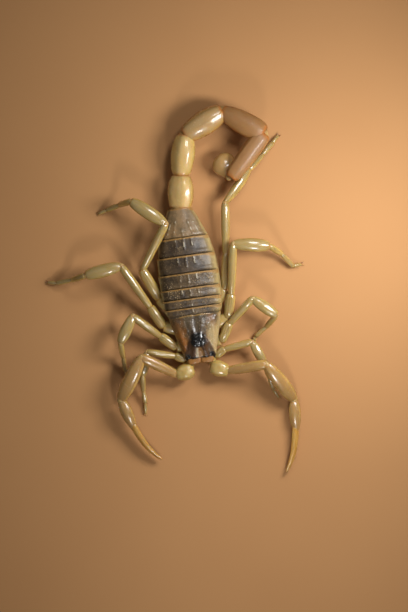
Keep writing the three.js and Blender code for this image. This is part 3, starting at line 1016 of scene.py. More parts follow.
def aimed(start: Vector, end: Vector, roll: float = 0.0) -> Matrix:
    """Where a straight shell lies between two places.

    Args:
        start: Its root.
        end: The place that its nose points at.
        roll: Its turn about its own length, in degrees.

    Returns:
        The matrix that takes the bench's axes there.
    """
    along = (end - start).normalized()
    across = along.cross(UP).normalized() if abs(along.z) < 0.999 else Vector((1, 0, 0))
    across = Matrix.Rotation(math.radians(roll), 3, along) @ across
    up = across.cross(along)
    turn = Matrix((across, along, up)).transposed().to_4x4()
    return Matrix.Translation(start) @ turn


def bristle_seed(length: float, thick: float) -> Clay:
    """One stiff hair, bent a little towards its tip.

    Args:
        length: Its length.
        thick: Its width at the root.

    Returns:
        The hair, for strewing.
    """
    parts = [(0.0, 1.0, 0.0), (0.4, 0.72, 0.03), (0.75, 0.42, 0.11), (1.0, 0.08, 0.22)]
    rings = [Ring(length * part, thick * size, thick * size, lift=length * bow) for part, size, bow in parts]
    return Clay.lofted("bristle", rings, sides=4)


# ---------------------------------------------------------------- the fore-body


# each keel or groove of the shield: its corners, its height, half its width, and if it has a twin
SHIELD_LINES: tuple[tuple[Table, float, float, bool], ...] = (
    (((0, -5.0), (0, -7.4)), -0.12, 0.45, False),
    (((-2.9, -5.3), (-1.6, -5.5), (0, -5.45), (1.6, -5.5), (2.9, -5.3)), -0.06, 0.3, False),
    (((0.95, -5.9), (0.8, -6.5), (0.62, -7.3)), 0.07, 0.35, True),
    (((1.35, -7.2), (1.75, -6.4), (2.5, -5.9)), 0.06, 0.35, True),
    (((0.68, -9.4), (0.78, -10.4), (0.95, -11.1)), 0.14, 0.45, True),
    (((1.0, -7.9), (1.7, -8.9), (1.9, -10.2)), -0.08, 0.35, True),
    (((-0.32, -9.95), (-0.42, -11.15)), 0.12, 0.2, False),
    (((-1.9, -11.2), (0, -11.22), (1.9, -11.2)), 0.07, 0.2, False),
)


@dataclass
class Head:
    """The shield over the fore-body, its eyes and the two jaws under its front edge."""

    finishes: Finishes
    rear: float = -4.85
    length: float = 6.65
    floor: float = 2.1
    thickness: float = 0.2
    half_widths: Table = ((0, 3.95), (0.28, 3.55), (0.6, 2.98), (0.85, 2.5), (1, 2.25))
    tops: Table = ((0, 4.15), (0.35, 4.2), (0.62, 4.1), (0.85, 3.5), (1, 2.95))
    eye_radius: float = 0.27
    eye_spread: float = 0.5
    eye_line: float = -8.75
    eye_height: float = 4.3
    jaw_length: float = 1.6
    jaw_width: float = 2.12
    jaw_height: float = 1.2

    @property
    def front(self) -> float:
        """Where the shield's front edge lies."""
        return self.rear - self.length

    def build(self) -> None:
        """Builds the shield, the hump, every eye and both jaws."""
        self.shield()
        self.hump()
        for mirror, side in SIDES:
            self.median_eye(mirror, side)
            self.lateral_eyes(mirror, side)
            self.jaw(mirror, side)

    def shield(self) -> None:
        """Arches the shield, raises its keels and paints its black marks."""
        centre = self.floor + 0.35
        rings = []
        for part in (-0.01, 0.01, 0.08, 0.17, 0.28, 0.4, 0.52, 0.64, 0.75, 0.85, 0.93, 0.98, 1.0, 1.01):
            fall = {0.98: 0.93, 1.0: 0.72, 1.01: 0.42}.get(part, 1.0)
            wide = 2 * between(self.half_widths, part) * (0.985 if fall < 0.9 else 1.0)
            high = 2 * (between(self.tops, part) - centre) * fall
            rings.append(Ring(self.rear - self.length * part, wide, high, lift=centre))
        shield = Clay.arched("carapace", rings, ends=(-14, 194), square=0.16)
        shield.refine(2)
        at = self.eye_line
        shield.push(lambda p: abs(p.x) < 0.35 and abs(p.y - at + 0.1) < 0.4 and p.z > 3, (0, 0, 0.3), 1.5)
        shield.push(lambda p: abs(p.x) < 0.25 and p.y < self.front + 0.1 and p.z > 2.6, (0, 0.16, 0), 0.8)
        shield.push(lambda p: abs(abs(p.x) - 1.5) < 0.3 and abs(p.y + 8.2) < 0.5, (0, 0, -0.16), 0.9)
        shield.push(lambda p: abs(p.x) < 0.3 and abs(p.y + 10.5) < 0.3 and p.z > 3, (0, 0, -0.1), 0.7)
        shield.floor = 2.9
        for line, height, width, paired in SHIELD_LINES:
            for course in both_sides(line) if paired else [line]:
                shield.raise_line(course, height, width)
        shield.thicken(self.thickness).refine(1)
        shield.roughen(0.2, 0.045).roughen(0.7, 0.05, seed=3.1, cells=False)
        arms = [(line, 0.66) for line in both_sides(((0.9, -9.2), (1.3, -10.2), (1.55, -11.1)))]
        edge = [(((-2.0, -11.35), (-0.5, -11.3)), 0.24), (((0.3, -11.35), (2.0, -11.35)), 0.2)]
        corners = [(line, 0.34) for line in both_sides(((1.75, -10.9), (1.95, -11.2)))]
        brow = [(((-0.38, -8.2), (0.38, -8.2)), 0.72), (((-0.5, -8.9), (0.5, -8.9)), 0.72)]
        blotch = [(((-0.8, -7.4), (-0.35, -7.0)), 0.2), (((0.5, -7.5), (0.75, -6.9)), 0.14)]
        # painted highlight: the pale streak where the front of the shield glints
        shield.stroke("glint_streak", [(((-0.34, -10.0), (-0.42, -11.0)), 0.2)])
        shield.stroke("ink", brow + edge + corners).stroke("ink", blotch, 0.5).stroke("arm", arms)
        shield.lay_out(Vector((-3.95, self.rear, 2.1)), Vector((3.95, self.front, 4.6)))
        shield.even_sides(lambda along: between(self.half_widths, (self.rear - along) / self.length))
        shield.finish(self.finishes.head, "head_plate", "carapace")

    def hump(self) -> None:
        """The black hump that carries the median eyes, with a crest over each eye and a furrow between."""
        parts = (
            (0, 0.35), (0.07, 0.62), (0.2, 0.86), (0.4, 1.0), (0.6, 0.97), (0.8, 0.8), (0.93, 0.55),
            (1.0, 0.3),
        )  # fmt: skip
        start = self.eye_line - 1.0
        rings = [Ring(start + 2.0 * part, 1.62 * size, 0.86 * size, lift=3.97) for part, size in parts]
        hump = Clay.lofted("ocular_hump", rings, sides=16)
        hump.refine(3)
        hump.floor = 4.0
        hump.raise_line(((0, start), (0, start + 2)), -0.11, 0.34)
        crest = ((0.5, self.eye_line - 0.5), (0.38, self.eye_line), (0.44, self.eye_line + 0.5))
        for line in both_sides(crest):
            hump.raise_line(line, 0.07, 0.18)
        hump.roughen(0.2, 0.02)
        hump.finish(self.finishes.hump, "eye")

    def _lens(self, name: str, radius: float) -> Clay:
        """A domed lens in its collar, facing +Y.

        Args:
            name: The piece's name.
            radius: The collar's radius.

        Returns:
            The lens.
        """
        profile = (
            (-0.5, 0.85), (-0.1, 1.0), (0.1, 1.03), (0.2, 0.95), (0.22, 0.84), (0.5, 0.78), (0.78, 0.52),
            (0.9, 0.2),
        )  # fmt: skip
        rings = [Ring(radius * along, 2 * radius * size, 2 * radius * size) for along, size in profile]
        return Clay.lofted(name, rings, sides=14).refine(2)

    def median_eye(self, mirror: int, side: str) -> None:
        """Sets one of the two large eyes in the side of the hump."""
        root = Vector((mirror * (self.eye_spread - 0.08), self.eye_line, self.eye_height - 0.1))
        look = root + Vector((mirror * 0.75, -0.1, 0.62))
        lens = self._lens(f"eye_median_{side}", self.eye_radius)
        lens.finish(self.finishes.eye, "eye", f"eye_median_{side}", at=aimed(root, look))

    def lateral_eyes(self, mirror: int, side: str) -> None:
        """Sets the three small eyes at one front corner of the shield."""
        places = ((1.78, -11.2, 2.98), (1.93, -10.95, 3.0), (2.06, -10.7, 3.02))
        lenses = []
        for index, (across, along, up) in enumerate(places):
            root = Vector((mirror * across, along, up))
            lens = self._lens("lens", 0.125 - 0.015 * index)
            lenses.append(lens.put(aimed(root, root + Vector((mirror * 0.6, -0.35, 0.7)))))
        Clay.gathered(f"eyes_lateral_{side}", lenses).finish(self.finishes.eye, "eye")

    def jaw(self, mirror: int, side: str) -> None:
        """One chelicera: a plump base, a fixed finger with teeth and a movable finger that closes on it."""
        root = Vector((mirror * 1.0, self.front + 0.85, 2.4))
        place = aimed(root, root + Vector((-mirror * 0.05, -1, -0.08)))
        sizes = ((0, 0.7), (0.1, 0.86), (0.3, 0.98), (0.7, 1.0), (0.88, 0.97), (0.96, 0.84), (1.0, 0.6))
        palm_length = self.jaw_length * 0.92
        rings = [
            Ring(palm_length * part, self.jaw_width * size, self.jaw_height * size, lift=0.1 * part)
            for part, size in sizes
        ]
        palm = Clay.lofted(f"chelicera_{side}", rings, sides=16, square=0.45)
        palm.refine(3).roughen(0.5, 0.05, seed=1.0 + mirror, cells=False)
        inner = self._jaw_finger(palm_length * 0.78, -mirror * 0.34, 0.42, 0.5, mirror, 3)
        outer = self._jaw_finger(palm_length * 0.74, mirror * 0.36, 0.46, 0.62, -mirror, 4)
        palm.melt_in([inner, outer])
        palm.finish(self.finishes.jaw, "claw_shell", f"chelicera_{side}", at=place)

    def _jaw_finger(
        self, start: float, aside: float, thick: float, length: float, bend: int, teeth: int
    ) -> Clay:
        """One short hooked finger of a jaw with its teeth.

        Args:
            start: Where it leaves the palm.
            aside: How far off the middle it starts.
            thick: Its width at the root.
            length: Its length.
            bend: The side that it hooks towards.
            teeth: How many teeth it carries.

        Returns:
            The finger.
        """
        sizes = (
            (0, 1.0, 0.0), (0.25, 0.92, 0.03), (0.5, 0.74, 0.09), (0.75, 0.5, 0.2), (0.92, 0.26, 0.34),
            (1, 0.1, 0.42),
        )  # fmt: skip
        rings = []
        for part, size, bow in sizes:
            wide = thick * size
            middle = {"aside": aside + bend * bow * 0.5, "lift": -0.05 - bow * 0.3}
            rings.append(Ring(start + length * part, wide, wide * 0.9, **middle))
        finger = Clay.lofted("jaw_finger", rings, sides=10).refine(2)
        cusps = []
        for index in range(teeth):
            part = 0.3 + 0.16 * index
            root = Vector((aside + bend * (thick * 0.3 + 0.05 * index), start + length * part, -0.1))
            tooth = bristle_seed(0.16 - 0.02 * index, 0.1)
            cusps.append(tooth.put(aimed(root, root + Vector((bend, 0.25, -0.1)))))
        return finger.melt_in(cusps)


# ---------------------------------------------------------------- the trunk


@dataclass
class Trunk:
    """The seven ringed lengths of the trunk: back plates, belly plates and the pleated skin between."""

    finishes: Finishes
    front: float = -4.85
    plate_lengths: tuple[float, ...] = (1.1, 1.35, 1.6, 2.2, 2.6, 2.7, 4.4)
    half_widths: Table = (
        (-5.1, 4.1), (-3.3, 4.55), (-1, 4.65), (1.5, 4.65), (3.5, 4.5), (4.9, 4.25),
        (6.5, 3.85), (7.8, 3.35), (9.5, 2.65), (10.7, 1.95), (11.1, 1.7),
    )  # fmt: skip
    tops: Table = ((-5.1, 4.2), (-2, 4.7), (2, 4.8), (6, 4.5), (9, 4.1), (11.1, 3.6))
    bellies: Table = (
        (-5.1, 2), (-3.7, 1.75), (-2.2, 1.2), (-0.8, 0.6), (-0.5, 0.03), (7, 0.03), (9.5, 0.35), (11.1, 1)
    )  # fmt: skip
    plate_ends: Spot = (20, 172)
    middle_line: float = -0.12
    belly_edges: tuple[float, ...] = (-0.9, 0.9, 2.7, 4.7, 7.2, 11.0)
    window: float = 2.2
    climb: float = 0.17

    def build(self) -> None:
        """Builds the skin, then every plate over it."""
        self.skin()
        edge = self.front
        for number, length in enumerate(self.plate_lengths, start=1):
            self.back_plate(number, edge, edge + length)
            edge += length
        for number, (start, end) in enumerate(pairwise(self.belly_edges), start=3):
            self.belly_plate(number, start, end)

    def _middle(self, along: float) -> float:
        """The height of the trunk's widest line."""
        return (between(self.tops, along) + between(self.bellies, along)) / 2

    def _ring(self, along: float, sink: float = 0.0, at: float | None = None, drop: float = 0.0) -> Ring:
        """The trunk's own oval at one place along it, sunk below its surface.

        Args:
            along: The place along the trunk.
            sink: How far below the surface, in millimetres.
            at: Where the ring is put if that isn't along.
            drop: How much lower its back lies.

        Returns:
            The ring.
        """
        high = between(self.tops, along) - between(self.bellies, along)
        wide = 2 * between(self.half_widths, along)
        lift = self._middle(along) - drop / 2
        return Ring(along if at is None else at, wide - 2 * sink, high - 2 * sink - drop, lift=lift)

    def skin(self) -> None:
        """The soft pleated skin that shows along the flanks and under the edges of the plates."""
        places = [self.front + 0.15 + 0.9 * step for step in range(18)] + [11.0]
        rings = [self._ring(place, 0.13, drop=0.14) for place in places]
        rings.insert(0, self._ring(self.front + 0.05, 0.7, at=self.front))
        rings.append(self._ring(11.1, 0.5, at=11.2))
        flank = ((-24, -0.03), (-8, 0.012), (8, -0.025), (24, 0.012))
        pleats = tuple((angle + side, out) for side in (0, 180) for angle, out in flank)
        skin = Clay.lofted("trunk_skin", rings, sides=48, square=0.1, keels=pleats)
        skin.refine(2).roughen(0.45, 0.07, cells=False)
        skin.finish(self.finishes.skin, "leg_shell")

    def back_plate(self, number: int, start: float, end: float) -> None:
        """One back plate: tucked under the plate before it, keeled, granular, its rear edge proud.

        Args:
            number: Its number, from the head.
            start: Where it shows from.
            end: Its rear edge.
        """
        length = end - start
        steps = max(5, round(length / 0.32))
        profile = [(start - 0.22, 0.26), (start - 0.02, 0.2), (start + 0.14, 0.12)]
        climb = self.climb
        for k in range(steps + 1):
            profile.append((start + 0.3 + (length - 0.5) * k / steps, 0.05 - climb * k / steps))
        profile += [(end - 0.1, -climb), (end - 0.02, 0.02 - climb), (end + 0.02, 0.12 - climb)]
        rings = [self._ring(min(place, 11.05), sink, at=place) for place, sink in profile]
        name = f"tergite_{number}"
        plate = Clay.arched(name, rings, ends=self.plate_ends, square=0.1)
        plate.refine(2)
        plate.floor = 2.9
        keels = self._keels(number, start, end)
        for line, height, width in keels:
            plate.raise_line(line, height, width)
        crest = start + (0.45 if number > 2 else 0.35)
        plate.raise_line(((-3.6, crest), (3.6, crest)), 0.075, 0.4)
        dimple = start + length * 0.5
        for across in (-2.0, 2.0):
            plate.push(lambda p: math.hypot(p.x - across, p.y - dimple) < 0.2, (0, 0, -0.025), 0.6)
        plate.thicken(0.16).refine(1)
        plate.roughen(0.19, 0.05 if number < 5 else 0.012, seed=number * 2.7)
        plate.roughen(0.9, 0.05, seed=number * 1.3, cells=False)
        plate.stroke("keel", [(line, 0.07) for line, _, _ in keels])
        # painted shade: the dark line where this plate tucks under the one before it
        tucked = [(place, start - 0.02 + 0.05 * math.sin(place * 3)) for place in (-5, -3, -1, 1, 3, 5)]
        plate.stroke("crease_shade", [(tucked, 0.16)])
        plate.lay_out(Vector((-4.65, end - self.window, 2)), Vector((4.65, end, 4.9)))
        plate.even_sides(lambda along: between(self.half_widths, along))
        dress = self.finishes
        look = dress.last_plate if number == 7 else dress.front_plate if number <= 4 else dress.plate
        plate.finish(look, "dark_plate", f"mesosoma_{number}")

    def _keels(self, number: int, start: float, end: float) -> list[tuple[Table, float, float]]:
        """Each keel of one back plate, as its line, its height and half its width."""
        middle = self.middle_line
        if number == len(self.plate_lengths):
            near = [(-1.42, start + 0.5), (-0.9, start + 2.5)]
            far = [(-2.3, start + 0.7), (-1.7, start + 2.2)]
            return [
                ([(middle, start + 0.4), (middle, start + 1.1)], 0.08, 0.26),
                *[(line, 0.055, 0.24) for line in both_sides(near)],
                *[(line, 0.035, 0.24) for line in both_sides(far)],
            ]
        if number < 3:
            return [([(middle, start + 0.3), (middle, end - 0.3)], 0.06, 0.25)]
        stop = end - 0.3
        reach = (end - start) * 0.5
        flanks = []
        for side in (-1, 1):
            line = [(middle + side * 1.25, stop - reach * 0.7), (middle + side * 1.2, stop)]
            flanks.append((line, 0.09, 0.24))
        return [([(middle, stop - reach), (middle, stop)], 0.1, 0.26), *flanks]

    def belly_plate(self, number: int, start: float, end: float) -> None:
        """One belly plate with its pair of breathing slits.

        Args:
            number: The trunk length that it belongs to.
            start: Its front edge.
            end: Its rear edge.
        """
        length = end - start
        profile = [(start - 0.1, 0.16), (start + 0.08, 0.05)]
        profile += [(start + 0.2 + (length - 0.35) * k / 5, 0.0) for k in range(6)]
        profile += [(end - 0.04, 0.0), (end, 0.08)]
        rings = [self._ring(min(place, 11.0), sink, at=place) for place, sink in profile]
        plate = Clay.arched(f"sternite_{number}", rings, ends=(205, 335), square=0.1)
        plate.refine(2)
        if number < len(self.plate_lengths):
            slit = start + length * 0.62
            for side in (-1, 1):
                across = side * between(self.half_widths, slit) * 0.55

                def in_slit(place: Vector) -> bool:
                    """Whether a corner lies in the slanting slit."""
                    off = place.x - across
                    return abs(off) < 0.34 and abs(place.y - slit - 0.3 * off * side) < 0.07

                plate.push(in_slit, (0, 0, 0.12), 0.2)
        plate.thicken(0.12).refine(1)
        plate.lay_out(Vector((-4.65, start, 0)), Vector((4.65, end, 2)))
        plate.finish(self.finishes.belly, "leg_shell")


# ---------------------------------------------------------------- straight shells of tail and limbs


class Build(Enum):
    """Lengthwise shapes: part of the length, part of the full width, and rise of the middle line."""

    TROCHANTER = (
        (0, 0.6, 0), (0.05, 0.8, 0), (0.2, 0.97, 0.02), (0.55, 1, 0.03), (0.85, 0.91, 0.02),
        (0.95, 0.8, 0), (1, 0.6, 0),
    )
    KNUCKLE = (
        (0, 0.5, 0), (0.05, 0.68, 0), (0.14, 0.86, 0.01), (0.34, 1.02, 0.03), (0.58, 1, 0.03),
        (0.8, 0.86, 0.02), (0.92, 0.72, 0), (1, 0.5, 0),
    )
    FEMUR = (
        (0, 0.5, 0), (0.02, 0.66, 0), (0.07, 0.78, 0.02), (0.25, 0.92, 0.05), (0.55, 1.0, 0.06),
        (0.8, 1.0, 0.04), (0.92, 0.9, 0.02), (0.975, 0.74, 0), (1, 0.5, 0),
    )
    PATELLA = (
        (0, 0.38, 0), (0.03, 0.54, 0), (0.09, 0.69, 0.03), (0.22, 0.87, 0.08), (0.42, 1.0, 0.11),
        (0.63, 1.02, 0.1), (0.8, 0.92, 0.05), (0.92, 0.74, 0.02), (0.975, 0.6, 0), (1, 0.44, 0),
    )
    TIBIA = (
        (0, 0.52, 0), (0.03, 0.74, 0), (0.12, 0.94, 0.03), (0.38, 1, 0.05), (0.7, 0.92, 0.04),
        (0.92, 0.87, 0.01), (0.98, 0.78, 0), (1, 0.5, 0),
    )
    BASITARSUS = (
        (0, 0.52, 0), (0.05, 0.8, 0), (0.25, 0.94, 0), (0.65, 1, 0), (0.92, 1, 0), (0.98, 0.86, 0),
        (1, 0.54, 0),
    )
    TARSUS = (
        (0, 0.52, 0), (0.07, 0.84, 0), (0.3, 1, 0.02), (0.65, 0.94, 0.02), (0.88, 0.74, 0), (1, 0.46, 0)
    )
    FIRST_RING = (
        (0, 0.72, 0), (0.03, 0.85, 0), (0.065, 0.86, 0), (0.1, 0.88, 0), (0.25, 0.98, 0), (0.46, 1.04, 0),
        (0.66, 1.0, 0), (0.82, 0.89, 0), (0.92, 0.77, 0), (0.97, 0.68, 0), (1, 0.52, 0),
    )
    RING = (
        (0, 0.52, 0), (0.02, 0.68, 0), (0.05, 0.75, 0), (0.12, 0.84, 0), (0.26, 0.96, 0), (0.45, 1.04, 0),
        (0.63, 1.04, 0), (0.78, 0.95, 0), (0.89, 0.81, 0), (0.95, 0.71, 0), (0.98, 0.64, 0), (1, 0.5, 0),
    )
    FLARED = (
        (0, 0.48, 0), (0.02, 0.58, 0), (0.06, 0.65, 0), (0.14, 0.76, 0), (0.3, 0.91, 0), (0.5, 1.0, 0),
        (0.7, 1.03, 0), (0.84, 0.97, 0), (0.93, 0.86, 0), (0.975, 0.74, 0), (1, 0.54, 0),
    )
    LAST_RING = (
        (0, 0.56, 0), (0.02, 0.78, 0), (0.07, 0.92, 0), (0.2, 1.01, 0), (0.4, 1.03, 0), (0.64, 0.97, 0),
        (0.83, 0.88, 0), (0.93, 0.8, 0), (0.975, 0.68, 0), (1, 0.48, 0),
    )
    PALM = (
        (0, 0.36, 0), (0.03, 0.54, 0), (0.1, 0.75, 0.01), (0.25, 0.93, 0.03), (0.43, 1, 0.04),
        (0.62, 0.96, 0.03), (0.78, 0.84, 0.02), (0.9, 0.7, 0.02), (0.97, 0.58, 0.03), (1.06, 0.44, 0.06),
    )
    FINGER = (
        (0, 0.9, 0), (0.1, 1.02, 0), (0.3, 0.96, 0), (0.55, 0.8, 0), (0.78, 0.6, 0), (0.92, 0.4, 0),
        (0.98, 0.22, 0), (1, 0.12, 0),
    )
    BULB = (
        (0, 0.3, 0), (0.03, 0.4, 0), (0.08, 0.5, 0), (0.15, 0.68, 0), (0.26, 0.89, 0), (0.4, 1.01, 0),
        (0.56, 1.03, 0), (0.72, 0.93, 0), (0.85, 0.72, 0), (0.94, 0.46, 0), (1, 0.2, 0),
    )
    STING = (
        (0, 1, 0), (0.12, 0.98, 0), (0.35, 0.84, 0), (0.6, 0.6, 0), (0.8, 0.38, 0), (0.93, 0.18, 0),
        (1, 0.04, 0),
    )
    COXA = (
        (0, 0.6, 0), (0.04, 0.8, 0), (0.2, 0.9, 0), (0.5, 0.95, 0), (0.85, 1.0, 0), (0.96, 0.9, 0),
        (1, 0.66, 0),
    )


@dataclass
class Article:
    """One shell of a limb or of the tail, from one joint to the next."""

    name: str
    path: tuple[Vector, ...]
    build: Build
    width: float
    height: float = 0.0
    roll: float = 0.0
    keels: Keels = ()
    sides: int = 14
    overlap: float = 0.0

    def __post_init__(self) -> None:
        """Takes its height from its width if none is given, and runs on a little past its joints."""
        self.height = self.height or self.width
        first, last = self.path[0], self.path[-1]
        before = (first - self.path[1]).normalized() * self.overlap
        after = (last - self.path[-2]).normalized() * self.overlap
        self.path = (first + before, *self.path[1:-1], last + after)

    @property
    def length(self) -> float:
        """From its root to its nose, straight."""
        return (self.path[-1] - self.path[0]).length

    @property
    def place(self) -> Matrix:
        """Where its bench axes lie on the animal."""
        return aimed(self.path[0], self.path[-1], self.roll)

    def _offset(self, part: float) -> Vector:
        """How far its middle line swings off the straight, on its own axes."""
        if len(self.path) == 2:
            return Vector((0, self.length * part, 0))
        steps = len(self.path) - 1
        near = [self.path[0] * 2 - self.path[1], *self.path, self.path[-1] * 2 - self.path[-2]]
        at = min(int(part * steps), steps - 1)
        t = part * steps - at
        a, b, c, d = near[at : at + 4]
        square, cube = 2 * a - 5 * b + 4 * c - d, 3 * b - a - 3 * c + d
        swung = 0.5 * (2 * b + (c - a) * t + square * t**2 + cube * t**3)
        return self.place.inverted() @ swung

    def shell(self, square: float = 0.0) -> Clay:
        """Draws the shell out and rounds it.

        Args:
            square: How far its section leans towards a box.

        Returns:
            The shell on the bench.
        """
        rings = []
        for part, size, rise in self.build.value:
            middle = self._offset(part)
            lift = middle.z + rise * self.height
            rings.append(Ring(middle.y, self.width * size, self.height * size, aside=middle.x, lift=lift))
        return Clay.lofted(self.name, rings, self.sides, square, self.keels).refine(2)

    def size_at(self, part: float) -> float:
        """Its width's part at one place along it."""
        return between([(along, size) for along, size, _ in self.build.value], part)

    def skin_place(self, part: float, turn: float, lean: float = 0.6, out: float = 0.96) -> Matrix:
        """Where a bristle or a granule stands on its surface.

        Args:
            part: The place along it.
            turn: The turn round it in degrees, 90 its back.
            lean: How far the bristle leans towards the nose.
            out: How far out its root is, as a part of the radius.

        Returns:
            The matrix that stands a shape there, on the animal.
        """
        angle = math.radians(turn)
        size = self.size_at(part)
        radial = Vector((math.cos(angle), 0, math.sin(angle)))
        middle = self._offset(part)
        rise = between([(along, rise) for along, _, rise in self.build.value], part) * self.height
        outline = Vector((radial.x * self.width, 0, radial.z * self.height))
        root = middle + outline * (size * out / 2) + Vector((0, 0, rise))
        place = self.place
        return aimed(place @ root, place @ (root + radial + Vector((0, lean, 0))))


def bristles_on(
    articles: Sequence[Article],
    count: int,
    chance: random.Random,
    low: float = -60,
    high: float = 240,
    reach: float = 0.6,
) -> list[Matrix]:
    """Scatters bristles over some shells.

    Args:
        articles: The shells.
        count: How many stand on a shell for each 5 mm of its length.
        chance: The source of the scatter.
        low: The lowest turn round the shell.
        high: The highest turn round the shell.
        reach: How long a bristle is, so that none stands above the tallest shell.

    Returns:
        Where they stand.
    """
    places = []
    for article in articles:
        for _ in range(round(count * article.length / 5)):
            part, turn, lean = chance.uniform(0.12, 0.97), chance.uniform(low, high), chance.uniform(0.5, 1.3)
            at = article.skin_place(part, turn, lean)
            size = chance.uniform(0.55, 1.15)
            if 0.25 < at.translation.z and (at @ Vector((0, reach, 0))).z < TALLEST:
                places.append(at @ Matrix.Rotation(chance.uniform(0, 6.28), 4, "Y") @ Matrix.Scale(size, 4))
    return places


def hinge(at: Vector, toward: Vector, wide: float) -> Clay:
    """The soft fold between two shells.

    Args:
        at: The joint.
        toward: The direction of the shells there.
        wide: Its width.

    Returns:
        The fold, in its place.
    """
    half = ((0.16, 0.94), (0.36, 0.86), (0.55, 0.5))
    profile = [(-along, size) for along, size in reversed(half)] + [(0.0, 1.02), *half]
    rings = [Ring(wide * along, wide * size, wide * size) for along, size in profile]
    return Clay.lofted("hinge", rings, sides=12).refine(1).put(aimed(at, at + toward))


def hinges_along(places: Sequence[Vector], widths: Sequence[float], snug: float) -> list[Clay]:
    """The soft folds at the inner joints of a row of shells.

    Args:
        places: The joints, from the root of the first shell on.
        widths: The shells' widths.
        snug: A fold's width as a part of the narrower shell beside it.

    Returns:
        The folds, in their places.
    """
    folds = []
    for before, at, after, (one, other) in zip(places, places[1:], places[2:], pairwise(widths)):
        toward = (at - before).normalized() + (after - at).normalized()
        folds.append(hinge(at, toward, min(one, other) * snug))
    return folds


def stride(length: float, heading: float, rise: float, side: int = 1) -> Vector:
    """The step from one joint to the next.

    Args:
        length: From joint to joint.
        heading: Its turn from straight ahead towards the side, in degrees.
        rise: How much higher the next joint lies.
        side: 1 on the animal's left, -1 on its right.

    Returns:
        The step.
    """
    run = math.sqrt(length**2 - rise**2)
    turn = math.radians(heading)
    return Vector((side * run * math.sin(turn), -run * math.cos(turn), rise))


def steps_out(
    side: int, root: Spot, lengths: Sequence[float], headings: Sequence[float], heights: Sequence[float]
) -> list[Vector]:
    """The joints of a limb: each length runs at its heading and lands at the next joint's height.

    Args:
        side: 1 on the animal's left, -1 on its right.
        root: The first joint, across and along.
        lengths: The lengths from joint to joint.
        headings: Turns from straight ahead towards the limb's own side, in degrees.
        heights: The joints' heights.

    Returns:
        The joints.
    """
    places = [Vector((side * root[0], root[1], heights[0]))]
    for length, heading, (low, high) in zip(lengths, headings, pairwise(heights)):
        places.append(places[-1] + stride(length, heading, high - low, side))
    return places


# ---------------------------------------------------------------- the tail


@dataclass(frozen=True)
class TailRing:
    """One ring of the tail: its size, and how it lies."""

    length: float
    heading: float
    rise: float
    width: float
    height: float
    roll: float


